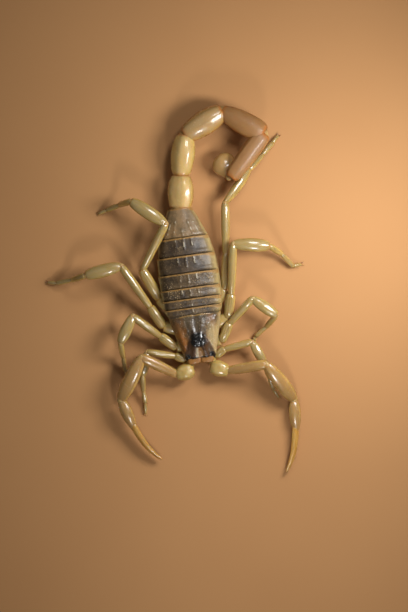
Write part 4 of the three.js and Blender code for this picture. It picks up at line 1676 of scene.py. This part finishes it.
@dataclass
class Tail:
    """Five keeled rings, the poison bulb folded against the last, and the sting under it."""

    finishes: Finishes
    root: Triple = (0.1, 11.2, 2.35)
    rings: tuple[TailRing, ...] = (
        TailRing(4.8, 171, 0.15, 4.0, 3.2, 30),
        TailRing(6.05, 166, 0.3, 3.6, 3.3, 50),
        TailRing(6.6, 114, 0.6, 3.4, 3.6, 70),
        TailRing(7.0, 53, 0.75, 3.1, 3.5, 85),
        TailRing(8.1, -44.5, 0.1, 2.6, 2.85, 90),
    )
    ring_keels: Keels = (
        (90, -0.03), (60, 0.04), (120, 0.04), (15, 0.035), (165, 0.035), (-30, 0.03), (210, 0.03),
        (-60, 0.03), (240, 0.03),
    )  # fmt: skip
    last_keels: Keels = (
        (60, 0.07), (120, 0.07), (90, -0.05), (20, 0.03), (160, 0.03), (-45, 0.07), (225, 0.07), (-90, 0.04),
    )  # fmt: skip
    builds: tuple[Build, ...] = (Build.FIRST_RING, Build.RING, Build.RING, Build.FLARED, Build.LAST_RING)
    bulb_path: tuple[Triple, ...] = ((7.9, 14.75, 3.1), (7.45, 16.6, 2.1), (7.6, 18.45, 1.95))
    bulb_width: float = 3.6
    sting_path: tuple[Triple, ...] = (
        (8.4, 16.9, 1.5), (9.8, 17.15, 1.35), (11.0, 17.75, 1.4), (11.9, 18.5, 1.75),
    )  # fmt: skip
    sting_width: float = 0.85
    articles: list[Article] = field(default_factory=list)

    def build(self) -> None:
        """Builds the rings, the hinges between them, the bulb, the sting and the bristles."""
        places = self._joints()
        looks = [self.finishes.tail_olive] * 2 + [self.finishes.tail_mid] + [self.finishes.tail_pink] * 2
        for number, (ring, look) in enumerate(zip(self.rings, looks), start=1):
            self.ring(number, ring, places[number - 1], places[number], look)
        self.hinges(places)
        self.bulb()
        self.sting()
        chance = random.Random(5)
        hairs = bristles_on(self.articles, 6, chance)
        bristle_seed(0.5, 0.035).strewn("tail_bristles", hairs).finish(self.finishes.bristle, "tail_shell")

    def _joints(self) -> list[Vector]:
        """The joints from the trunk to the end of the fifth ring."""
        places = [Vector(self.root)]
        for ring in self.rings:
            places.append(places[-1] + stride(ring.length, ring.heading, ring.rise))
        return places

    def ring(self, number: int, ring: TailRing, start: Vector, end: Vector, look: bpy.types.Material) -> None:
        """One ring with its keels and a row of blunt teeth on each keel of its back.

        Args:
            number: Its number from the trunk.
            ring: Its sizes.
            start: Its root joint.
            end: Its end joint.
            look: Its finish.
        """
        last = number == len(self.rings)
        article = Article(
            f"metasoma_{number}",
            (start, end),
            self.builds[number - 1],
            ring.width,
            ring.height,
            -ring.roll,
            self.last_keels if last else self.ring_keels,
            sides=24,
            overlap=0.15,
        )
        self.articles.append(article)
        shell = article.shell(square=0.06)
        shell.roughen(1.3, 0.07, seed=number * 3.3, cells=False)
        shell.bead(article, (60, 120, 15, 165), 0.08, 0.05, 18, 0.07)
        shell.finish(look, "tail_shell", f"metasoma_{number}", at=article.place)

    def hinges(self, places: list[Vector]) -> None:
        """The folds of skin between the rings, as one piece."""
        folds = hinges_along(places, [ring.width for ring in self.rings], 0.56)
        folds.append(hinge(Vector(self.root), Vector((0, 1, 0)), 2.9))
        folds.append(hinge(Vector(self.bulb_path[0]) + UP * 0.2, Vector((-0.2, 1, -0.5)), 1.1))
        Clay.gathered("tail_hinges", folds).finish(self.finishes.hinge, "tail_shell")

    def bulb(self) -> None:
        """The poison bulb, round and glossy, with a few pits."""
        article = Article(
            "telson_vesicle",
            tuple(Vector(place) for place in self.bulb_path),
            Build.BULB,
            self.bulb_width,
            self.bulb_width * 0.88,
            keels=((90, -0.02), (-90, 0.02)),
            sides=20,
        )
        self.articles.append(article)
        bulb = article.shell()
        bulb.roughen(1.0, 0.07, seed=2.0, cells=False)
        bulb.finish(self.finishes.bulb, "tail_shell", "telson_vesicle", at=article.place)

    def sting(self) -> None:
        """The hooked sting, from amber to dark at its point."""
        path = tuple(Vector(place) for place in self.sting_path)
        article = Article("telson_sting", path, Build.STING, self.sting_width, sides=12)
        article.shell().finish(self.finishes.sting, "sting", "telson_sting", at=article.place)


# ---------------------------------------------------------------- the limbs


@dataclass(frozen=True)
class LegPlan:
    """The sizes of one pair of walking legs: hip, lengths joint to joint, and each shell's width."""

    hip: Spot
    lengths: tuple[float, ...]
    thick: tuple[float, ...]
    coxa_root: float


@dataclass(frozen=True)
class Stance:
    """How one limb is held: headings, joint heights, and a turn of the flat patella."""

    headings: tuple[float, ...]
    heights: tuple[float, ...]
    twist: float = 0.0
    trochanter: float = 1.0


LEG_PLANS = (
    LegPlan((2.35, -11.35), (1.5, 4.4, 3.55, 2.6, 1.95, 1.75), (1.35, 1.1, 1.45, 0.9, 0.72, 0.6), -10.3),
    LegPlan((3.5, -9.25), (2.75, 5.45, 4.3, 3.05, 2.4, 1.4), (1.55, 1.2, 1.7, 0.95, 0.75, 0.6), -8.9),
    LegPlan((4.9, -5.9), (3.4, 7.8, 5.4, 3.05, 2.75, 1.5), (1.65, 1.3, 1.95, 1.05, 0.82, 0.62), -7.5),
    LegPlan((5.0, -1.6), (5.0, 7.9, 6.1, 3.2, 2.5, 1.5), (1.75, 1.3, 2.0, 1.05, 0.82, 0.62), -6.2),
)
LOW_STANCE = (1.5, 1.7, 2.5, 2.4, 1.2, 0.55, 0.2)
STANCES = {
    "left": (
        Stance((121, 97, 22, 12, 12, 23), LOW_STANCE),
        Stance((148, 130, 47, -47, -56, -31), (1.5, 2.1, 3.9, 3.8, 1.7, 0.65, 0.2)),
        Stance((164, 170, 79, 50, 36, 95), (1.5, 2.2, 4.1, 4.0, 1.9, 0.7, 0.2)),
        Stance((170, 173, 136, 131, 131, 135), (1.4, 1.9, 3.0, 2.2, 1.15, 0.55, 0.2), 75, trochanter=0.8),
    ),
    "right": (
        Stance((121, 106, 19, 6, -1, 7), LOW_STANCE),
        Stance((134, 134, 33, -1, 0, -4), (1.5, 2.1, 3.9, 3.8, 1.7, 0.65, 0.2)),
        Stance((154, 153, 83, 81, 87, 102), (1.5, 2.2, 4.1, 4.0, 1.9, 0.7, 0.2)),
        Stance((158, 215, 131, 85, 77, 76), (1.4, 3.0, 4.84, 4.64, 2.0, 0.65, 0.2)),
    ),
}


@dataclass
class Leg:
    """One walking leg from its trochanter to its two claws."""

    finishes: Finishes
    side: int
    side_name: str
    number: int
    flatness: float = 0.7

    @property
    def name(self) -> str:
        """The leg's name, which its pieces start with."""
        return f"leg_{self.side_name}_{self.number}"

    def build(self) -> None:
        """Builds every shell of the leg, its folds, spurs, claws and bristles."""
        plan = LEG_PLANS[self.number - 1]
        stance = STANCES[self.side_name][self.number - 1]
        at = steps_out(self.side, plan.hip, plan.lengths, stance.headings, stance.heights)
        thick = plan.thick
        flat = thick[2] * self.flatness
        keels = ((90, 0.05), (67, -0.01), (113, -0.01), (0, 0.06), (180, 0.06), (-45, 0.04), (225, 0.04))
        ridged = {"keels": keels, "sides": 16, "overlap": 0.13}
        thigh, patella, twist = f"{self.name}_femur", f"{self.name}_patella", stance.twist
        root, root_thick = f"{self.name}_trochanter", thick[0] * stance.trochanter
        parts = {
            "trochanter": Article(root, (at[0], at[1]), Build.TROCHANTER, root_thick, overlap=0.25),
            "thigh": Article(thigh, (at[1], at[2]), Build.FEMUR, thick[1], thick[1] * 1.05, **ridged),
            "patella": Article(patella, (at[2], at[3]), Build.PATELLA, thick[2], flat, twist, **ridged),
            "foot": Article(f"{self.name}_tibia", (at[3], at[4]), Build.TIBIA, thick[3], overlap=0.08),
            "basitarsus": Article(f"{self.name}_basitarsus", (at[4], at[5]), Build.BASITARSUS, thick[4]),
            "tarsus": Article(f"{self.name}_tarsus", (at[5], at[6]), Build.TARSUS, thick[5]),
        }
        for part, article in parts.items():
            nodes = [f"{self.name}_{part}"] if part in ("thigh", "patella", "foot") else []
            shell = article.shell()
            shell.roughen(0.9, 0.05, seed=self.number + self.side * 4.0, cells=False)
            if part == "trochanter":
                shell.bead(article, (78, 97), 0.14, 0.065, 12, 0.1)
            shell.finish(self.finishes.leg, "leg_shell", *nodes, at=article.place)
        folds = hinges_along(at, thick, 0.7)
        Clay.gathered(f"{self.name}_folds", folds).finish(self.finishes.hinge, "leg_shell")
        self.claws(at[5], at[6])
        chance = random.Random(40 + self.number * 2 + self.side)
        shells = list(parts.values())
        hairs = bristles_on(shells[1:3], 7, chance) + bristles_on(shells[3:], 16, chance)
        seed = bristle_seed(0.42, 0.03)
        seed.strewn(f"{self.name}_bristles", hairs).finish(self.finishes.bristle, "leg_shell")

    def claws(self, ankle: Vector, tip: Vector) -> None:
        """The two curved claws, the small dactyl between them, and the spurs behind them."""
        along = (tip - ankle).normalized()
        flat = Vector((along.x, along.y, 0)).normalized()
        aside = flat.cross(UP)
        hooks = []
        for turn, length in ((0.4, 0.55), (-0.4, 0.55), (0.0, 0.28)):
            root = Vector((tip.x, tip.y, 0.24)) - flat * 0.14 + aside * turn * 0.3
            sizes = ((0, 1, 0), (0.3, 0.86, 0.05), (0.6, 0.62, 0.03), (0.85, 0.32, -0.08), (1, 0.06, -0.18))
            rings = []
            for part, size, rise in sizes:
                rings.append(Ring(length * part, 0.14 * size, 0.14 * size, lift=length * rise))
            hook = Clay.lofted("hook", rings, sides=8).refine(1)
            hooks.append(hook.put(aimed(root, root + flat + aside * turn)))
        for turn in (0.8, -0.8):
            root = ankle - along * 0.05 + aside * turn * 0.22
            look = root + along * 0.8 + aside * turn * 0.7 - UP * 0.3
            hooks.append(bristle_seed(0.3, 0.1).put(aimed(root, look)))
        Clay.gathered(f"{self.name}_claws", hooks).finish(self.finishes.claw, "leg_shell")


PALP_STANCES = {
    "left": Stance((69, 92, 30, -4, -13, -27), (1.9, 2.1, 4.4, 1.6, 1.25, 1.1, 0.9)),
    "right": Stance((81, 124, 34, -16, -25, -40), (1.9, 2.1, 4.4, 2.4, 1.8, 1.4, 0.95)),
}


@dataclass
class Pedipalp:
    """One arm: trochanter, femur, patella, slender hand and its two long fingers."""

    finishes: Finishes
    side: int
    side_name: str
    root: Spot = (1.45, -12.95)
    lengths: tuple[float, ...] = (2.4, 6.3, 7.3, 4.5, 3.4, 3.25)
    thick: tuple[float, ...] = (2.4, 1.6, 2.25, 1.9, 0.9)
    finger_height: float = 0.66
    fingers_apart: float = 0.34
    teeth: int = 34

    @property
    def name(self) -> str:
        """The arm's name, which its pieces start with."""
        return f"pedipalp_{self.side_name}"

    def build(self) -> None:
        """Builds every shell of the arm, its folds and its bristles."""
        stance = PALP_STANCES[self.side_name]
        at = steps_out(self.side, self.root, self.lengths, stance.headings, stance.heights)
        thick = self.thick
        sharp = ((60, 0.07), (120, 0.07), (90, -0.03), (-60, 0.05), (240, 0.05), (0, 0.05), (180, 0.06))
        bold = ((60, 0.14), (120, 0.14), (90, -0.05), (-60, 0.08), (240, 0.08), (0, 0.1), (180, 0.1))
        soft = ((75, 0.025), (30, 0.02), (150, 0.02), (-45, 0.02), (225, 0.02))
        plans = {
            "trochanter": (Build.KNUCKLE, thick[0], thick[0], 0.0, bold, 18, 0.25),
            "femur": (Build.FEMUR, thick[1], thick[1], 0.0, sharp, 18, 0.15),
            "patella": (Build.PATELLA, thick[2], thick[2] * 0.9, 0.0, sharp, 18, 0.15),
        }
        arm = {
            part: Article(f"{self.name}_{part}", ends, *plan)
            for (part, plan), ends in zip(plans.items(), pairwise(at))
        }
        for part, article in arm.items():
            size, wave, look = (1.0, 0.06, self.finishes.palp)
            if part == "trochanter":
                size, wave, look = (0.7, 0.14, self.finishes.base)
            shell = article.shell(square=0.05).roughen(size, wave, seed=self.side * 3.0, cells=False)
            shell.finish(look, "claw_shell", f"{self.name}_{part}", at=article.place)
        palm = Article(
            f"{self.name}_hand", (at[3], at[4]), Build.PALM, thick[3], thick[3] * 0.95, keels=soft, sides=20
        )
        shift = Vector((-self.side * 0.1, 0, self.fingers_apart))
        back = at[4].lerp(at[3], 0.12)
        middle_line = (back, at[5], at[6])
        fixed = self._finger_plan(f"{self.name}_fixed_finger", [place + shift for place in middle_line], -1)
        free = self._finger_plan(f"{self.name}_finger", [place - shift for place in middle_line], 1)
        palm.shell(square=0.04).finish(self.finishes.palp, "claw_shell", f"{self.name}_hand", at=palm.place)
        self._dress_finger(fixed, -1)
        self._dress_finger(free, 1, f"{self.name}_finger")
        self.folds(at)
        chance = random.Random(90 + self.side)
        shells = [arm["femur"], arm["patella"], palm, fixed, free]
        hair = self.finishes.bristle
        hairs = bristles_on(shells, 8, chance)
        bristle_seed(0.5, 0.032).strewn(f"{self.name}_bristles", hairs).finish(hair, "claw_shell")
        feelers = bristles_on([arm["patella"], palm], 6, chance, 20, 160, reach=1.1)
        bristle_seed(1.0, 0.02).strewn(f"{self.name}_feelers", feelers).finish(hair, "claw_shell")

    def _finger_plan(self, name: str, path: Sequence[Vector], bite: int) -> Article:
        """One finger, its tip turned towards the other.

        Args:
            name: The piece's name.
            path: Its root, middle and tip.
            bite: 1 if it closes upwards, -1 if down.

        Returns:
            The finger's plan.
        """
        tip = path[2] + Vector((0, 0, bite * 0.12))
        line = (path[0], path[1], tip)
        return Article(name, line, Build.FINGER, self.thick[4], self.finger_height, sides=14)

    def _dress_finger(self, finger: Article, bite: int, *nodes: str) -> None:
        """Gives a finger the row of small teeth along its biting edge, and dresses it.

        Args:
            finger: The finger's plan.
            bite: 1 if it closes upwards, -1 if down.
            nodes: The nodes that it stands for.
        """
        shell = finger.shell()
        shell.lay_out()
        rows = []
        for step in range(self.teeth):
            part = 0.16 + 0.78 * step / self.teeth
            big = 0.11 if step % 6 == 0 else 0.065
            place = finger.skin_place(part, 90 * bite + (3 if step % 2 else -3), 0.15, 0.94)
            rows.append(finger.place.inverted() @ place @ Matrix.Scale(big, 4))
        seed = Clay.lofted("tooth", [Ring(0, 1.1, 1.1), Ring(0.6, 0.8, 0.8), Ring(1.1, 0.2, 0.2)], sides=6)
        shell.melt_in([seed.strewn("teeth", rows)])
        shell.finish(self.finishes.finger, "claw_shell", *nodes, at=finger.place)

    def folds(self, at: list[Vector]) -> None:
        """The folds of skin at the arm's joints, as one piece."""
        made = hinges_along(at, self.thick[:4], 0.68)
        knuckle = at[4].lerp(at[3], 0.1) - Vector((0, 0, self.fingers_apart * 0.6))
        made.append(hinge(knuckle, at[5] - at[4], 0.7))
        Clay.gathered(f"{self.name}_folds", made).finish(self.finishes.hinge, "claw_shell")


# ---------------------------------------------------------------- the underside


@dataclass
class Underside:
    """The limb bases round the breast plate, the gill-like combs and the small plates between them."""

    finishes: Finishes
    inner: float = 1.0
    lift: float = 0.9
    height: float = 1.1
    swell: float = 1.14
    rear: float = -5.1
    comb_root: Spot = (0.55, -3.9)
    comb_length: float = 4.6
    comb_heading: float = 150
    comb_teeth: int = 20
    comb_lift: float = 0.42

    def build(self) -> None:
        """Builds every base, the breast, the lids and both combs."""
        self.breast()
        for side, name in SIDES:
            for number, plan in enumerate(LEG_PLANS, start=1):
                self.base(side, name, number, plan)
            self.arm_base(side, name)
            self.lid(side, name)
            self.comb(side, name)

    def breast(self) -> None:
        """The middle of the underside, with the five-sided breast plate on it."""
        start = Vector((0, self.rear - 0.3, self.lift))
        end = Vector((0, self.rear - 6.5, self.lift + 0.15))
        article = Article("breast", (start, end), Build.TROCHANTER, 3.3, self.height)
        core = article.shell().roughen(0.8, 0.05, cells=False)
        core.finish(self.finishes.base, "leg_shell", "coxosternum", at=article.place)
        sizes = ((0, 0.9), (0.06, 1.0), (0.5, 1.02), (0.78, 0.7), (0.95, 0.3), (1, 0.14))
        rings = [Ring(1.5 * part, 1.5 * size, 0.34) for part, size in sizes]
        plate = Clay.lofted("breast_plate", rings, sides=12, square=0.2, keels=((-90, -0.3),)).refine(2)
        root = Vector((0, self.rear - 0.75, 0.42))
        plate.finish(self.finishes.base, "leg_shell", at=aimed(root, root + Vector((0, -1, 0))))

    def base(self, side: int, side_name: str, number: int, plan: LegPlan) -> None:
        """The base of one walking leg, from beside the breast plate out to the hip.

        Args:
            side: 1 on the left, -1 on the right.
            side_name: That side's name.
            number: The leg's number.
            plan: The leg's sizes.
        """
        start = Vector((side * self.inner * 0.8, plan.coxa_root, self.lift))
        end = Vector((side * plan.hip[0], plan.hip[1], STANCES[side_name][number - 1].heights[0]))
        name = f"coxa_{side_name}_{number}"
        keels = ((-60, 0.05), (75, 0.03))
        wide = plan.thick[0] * self.swell
        article = Article(name, (start, end), Build.COXA, wide, self.height, keels=keels)
        shell = article.shell().roughen(0.6, 0.05, seed=number * 2.0 + side, cells=False)
        shell.finish(self.finishes.base, "leg_shell", at=article.place)

    def arm_base(self, side: int, side_name: str) -> None:
        """The base of one arm, beside the mouth."""
        start = Vector((side * 1.3, -10.6, 1.2))
        end = Vector((side * 1.85, -12.75, 1.85))
        article = Article(f"arm_base_{side_name}", (start, end), Build.COXA, 1.35, 1.3)
        shell = article.shell().roughen(0.6, 0.05, cells=False)
        shell.finish(self.finishes.base, "leg_shell", at=article.place)

    def lid(self, side: int, side_name: str) -> None:
        """One of the two small lids behind the breast plate."""
        sizes = ((0, 0.4), (0.12, 0.76), (0.4, 1.0), (0.7, 0.94), (0.9, 0.6), (1, 0.3))
        rings = [Ring(0.95 * part, 0.9 * size, 0.26 * size, aside=side * 0.47) for part, size in sizes]
        lid = Clay.lofted(f"lid_{side_name}", rings, sides=12).refine(2)
        root = Vector((0, self.rear - 0.65, 0.5))
        lid.finish(self.finishes.base, "leg_shell", at=aimed(root, root + Vector((0, 1, 0.1))))

    def comb(self, side: int, side_name: str) -> None:
        """One comb: a jointed shaft with a row of flat teeth towards the rear and the middle.

        Args:
            side: 1 on the left, -1 on the right.
            side_name: That side's name.
        """
        turn = math.radians(self.comb_heading)
        root = Vector((side * self.comb_root[0], self.comb_root[1], self.comb_lift))
        along = Vector((side * math.sin(turn), -math.cos(turn), 0))
        place = aimed(root, root + along)
        sizes = (
            (0, 0.7), (0.04, 1.0), (0.3, 0.98), (0.34, 0.88), (0.38, 0.96), (0.64, 0.86), (0.68, 0.76),
            (0.72, 0.82), (0.96, 0.5), (1, 0.26),
        )  # fmt: skip
        shaft_length = self.comb_length * 0.97
        rings = [Ring(shaft_length * part, 0.5 * size, 0.3 * size, aside=side * 0.8) for part, size in sizes]
        shaft = Clay.lofted(f"pectine_{side_name}", rings, sides=12).refine(2)
        shaft.lay_out()
        tooth = [(0, 0.8), (0.15, 0.7), (0.5, 0.95), (0.85, 1.0), (1.0, 0.5)]
        outline = [Ring(0.85 * part, 0.19 * size, 0.26 * size) for part, size in tooth]
        seed = Clay.lofted("tooth", outline, sides=6)
        rows = []
        for step in range(self.comb_teeth):
            spot = Vector((side * 0.7, 0.2 + (self.comb_length - 0.5) * step / self.comb_teeth, -0.02))
            size = 1 - 0.35 * step / self.comb_teeth
            rows.append(aimed(spot, spot + Vector((-side, 0.35, -0.05))) @ Matrix.Scale(size, 4))
        shaft.melt_in([seed.strewn("teeth", rows)])
        shaft.finish(self.finishes.base, "leg_shell", f"pectine_{side_name}", at=place)


# ---------------------------------------------------------------- the stage


@dataclass
class Studio:
    """The plain floor, the soft lights and the camera straight above."""

    camera_at: Triple = (1.569, -3.764, 350.0)
    camera_turn: float = -8.0
    tall: float = 91.8
    key_power: float = 0.030
    low_power: float = 0.019
    high_power: float = 0.013
    fill_power: float = 0.026

    def build(self) -> None:
        """Sets the floor, the lights and the camera."""
        self.floor()
        self.lamp("key", (36, 5, 42), (14, 22), self.key_power)
        self.lamp("low", (8, -60, 64), (13, 13), self.low_power)
        self.lamp("high", (26, 44, 62), (16, 16), self.high_power)
        self.lamp("fill", (-120, 120, 260), (160, 160), self.fill_power)
        world = bpy.data.worlds.new("room")
        bpy.context.scene.world = world
        world.use_nodes = True
        world.node_tree.nodes["Background"].inputs[0].default_value = tint((214, 212, 208))
        world.node_tree.nodes["Background"].inputs[1].default_value = 0.15
        bpy.context.scene.view_settings.view_transform = "Standard"
        self.camera()

    def floor(self) -> None:
        """A plain pale floor."""
        Clay.clear()
        bpy.ops.mesh.primitive_plane_add(size=3.0, location=(0, 0, 0))
        ground = bpy.context.object
        ground.name = "floor"
        mix = Recipe("floor")
        sand = mix.paint(mix.cloud(0.02, 3).ramp(0.3, 0.7) * 0.3, (184, 134, 84), (168, 118, 70))
        ground.data.materials.append(mix.fire(sand, 0.85))

    def lamp(self, name: str, at: Triple, size: Spot, power: float) -> None:
        """One soft oblong lamp that looks at the animal.

        Args:
            name: The lamp's name.
            at: Where it hangs, in millimetres.
            size: Its width and height, in millimetres.
            power: Its power in watts.
        """
        data = bpy.data.lights.new(name, "AREA")
        data.shape = "RECTANGLE"
        data.size, data.size_y = size[0] * MM, size[1] * MM
        data.energy = power
        lamp = bpy.data.objects.new(name, data)
        bpy.context.scene.collection.objects.link(lamp)
        lamp.location = Vector(at) * MM
        lamp.rotation_euler = (Vector((0, -3, 0)) * MM - lamp.location).to_track_quat("-Z", "Y").to_euler()

    def camera(self) -> None:
        """The camera, turned a little so that the animal leans as it lay."""
        data = bpy.data.cameras.new("camera")
        data.sensor_fit = "VERTICAL"
        data.sensor_height = 36
        data.lens = 36 * self.camera_at[2] / self.tall
        data.clip_start, data.clip_end = 0.01, 10
        camera = bpy.data.objects.new("camera", data)
        bpy.context.scene.collection.objects.link(camera)
        camera.location = Vector(self.camera_at) * MM
        camera.rotation_euler = (0, 0, math.radians(self.camera_turn))
        bpy.context.scene.camera = camera


def main() -> None:
    """Builds the stage and every region of the animal."""
    logging.basicConfig(level=logging.INFO, format="%(name)s: %(message)s", stream=sys.stdout)
    Studio().build()
    finishes = Finishes()
    limbs = [Pedipalp(finishes, side, name) for side, name in SIDES]
    limbs += [Leg(finishes, side, name, number) for side, name in SIDES for number in range(1, 5)]
    for region in (Head(finishes), Trunk(finishes), Tail(finishes), Underside(finishes), *limbs):
        region.build()
        log.info("%s done", type(region).__name__)


if __name__ == "__main__":
    main()
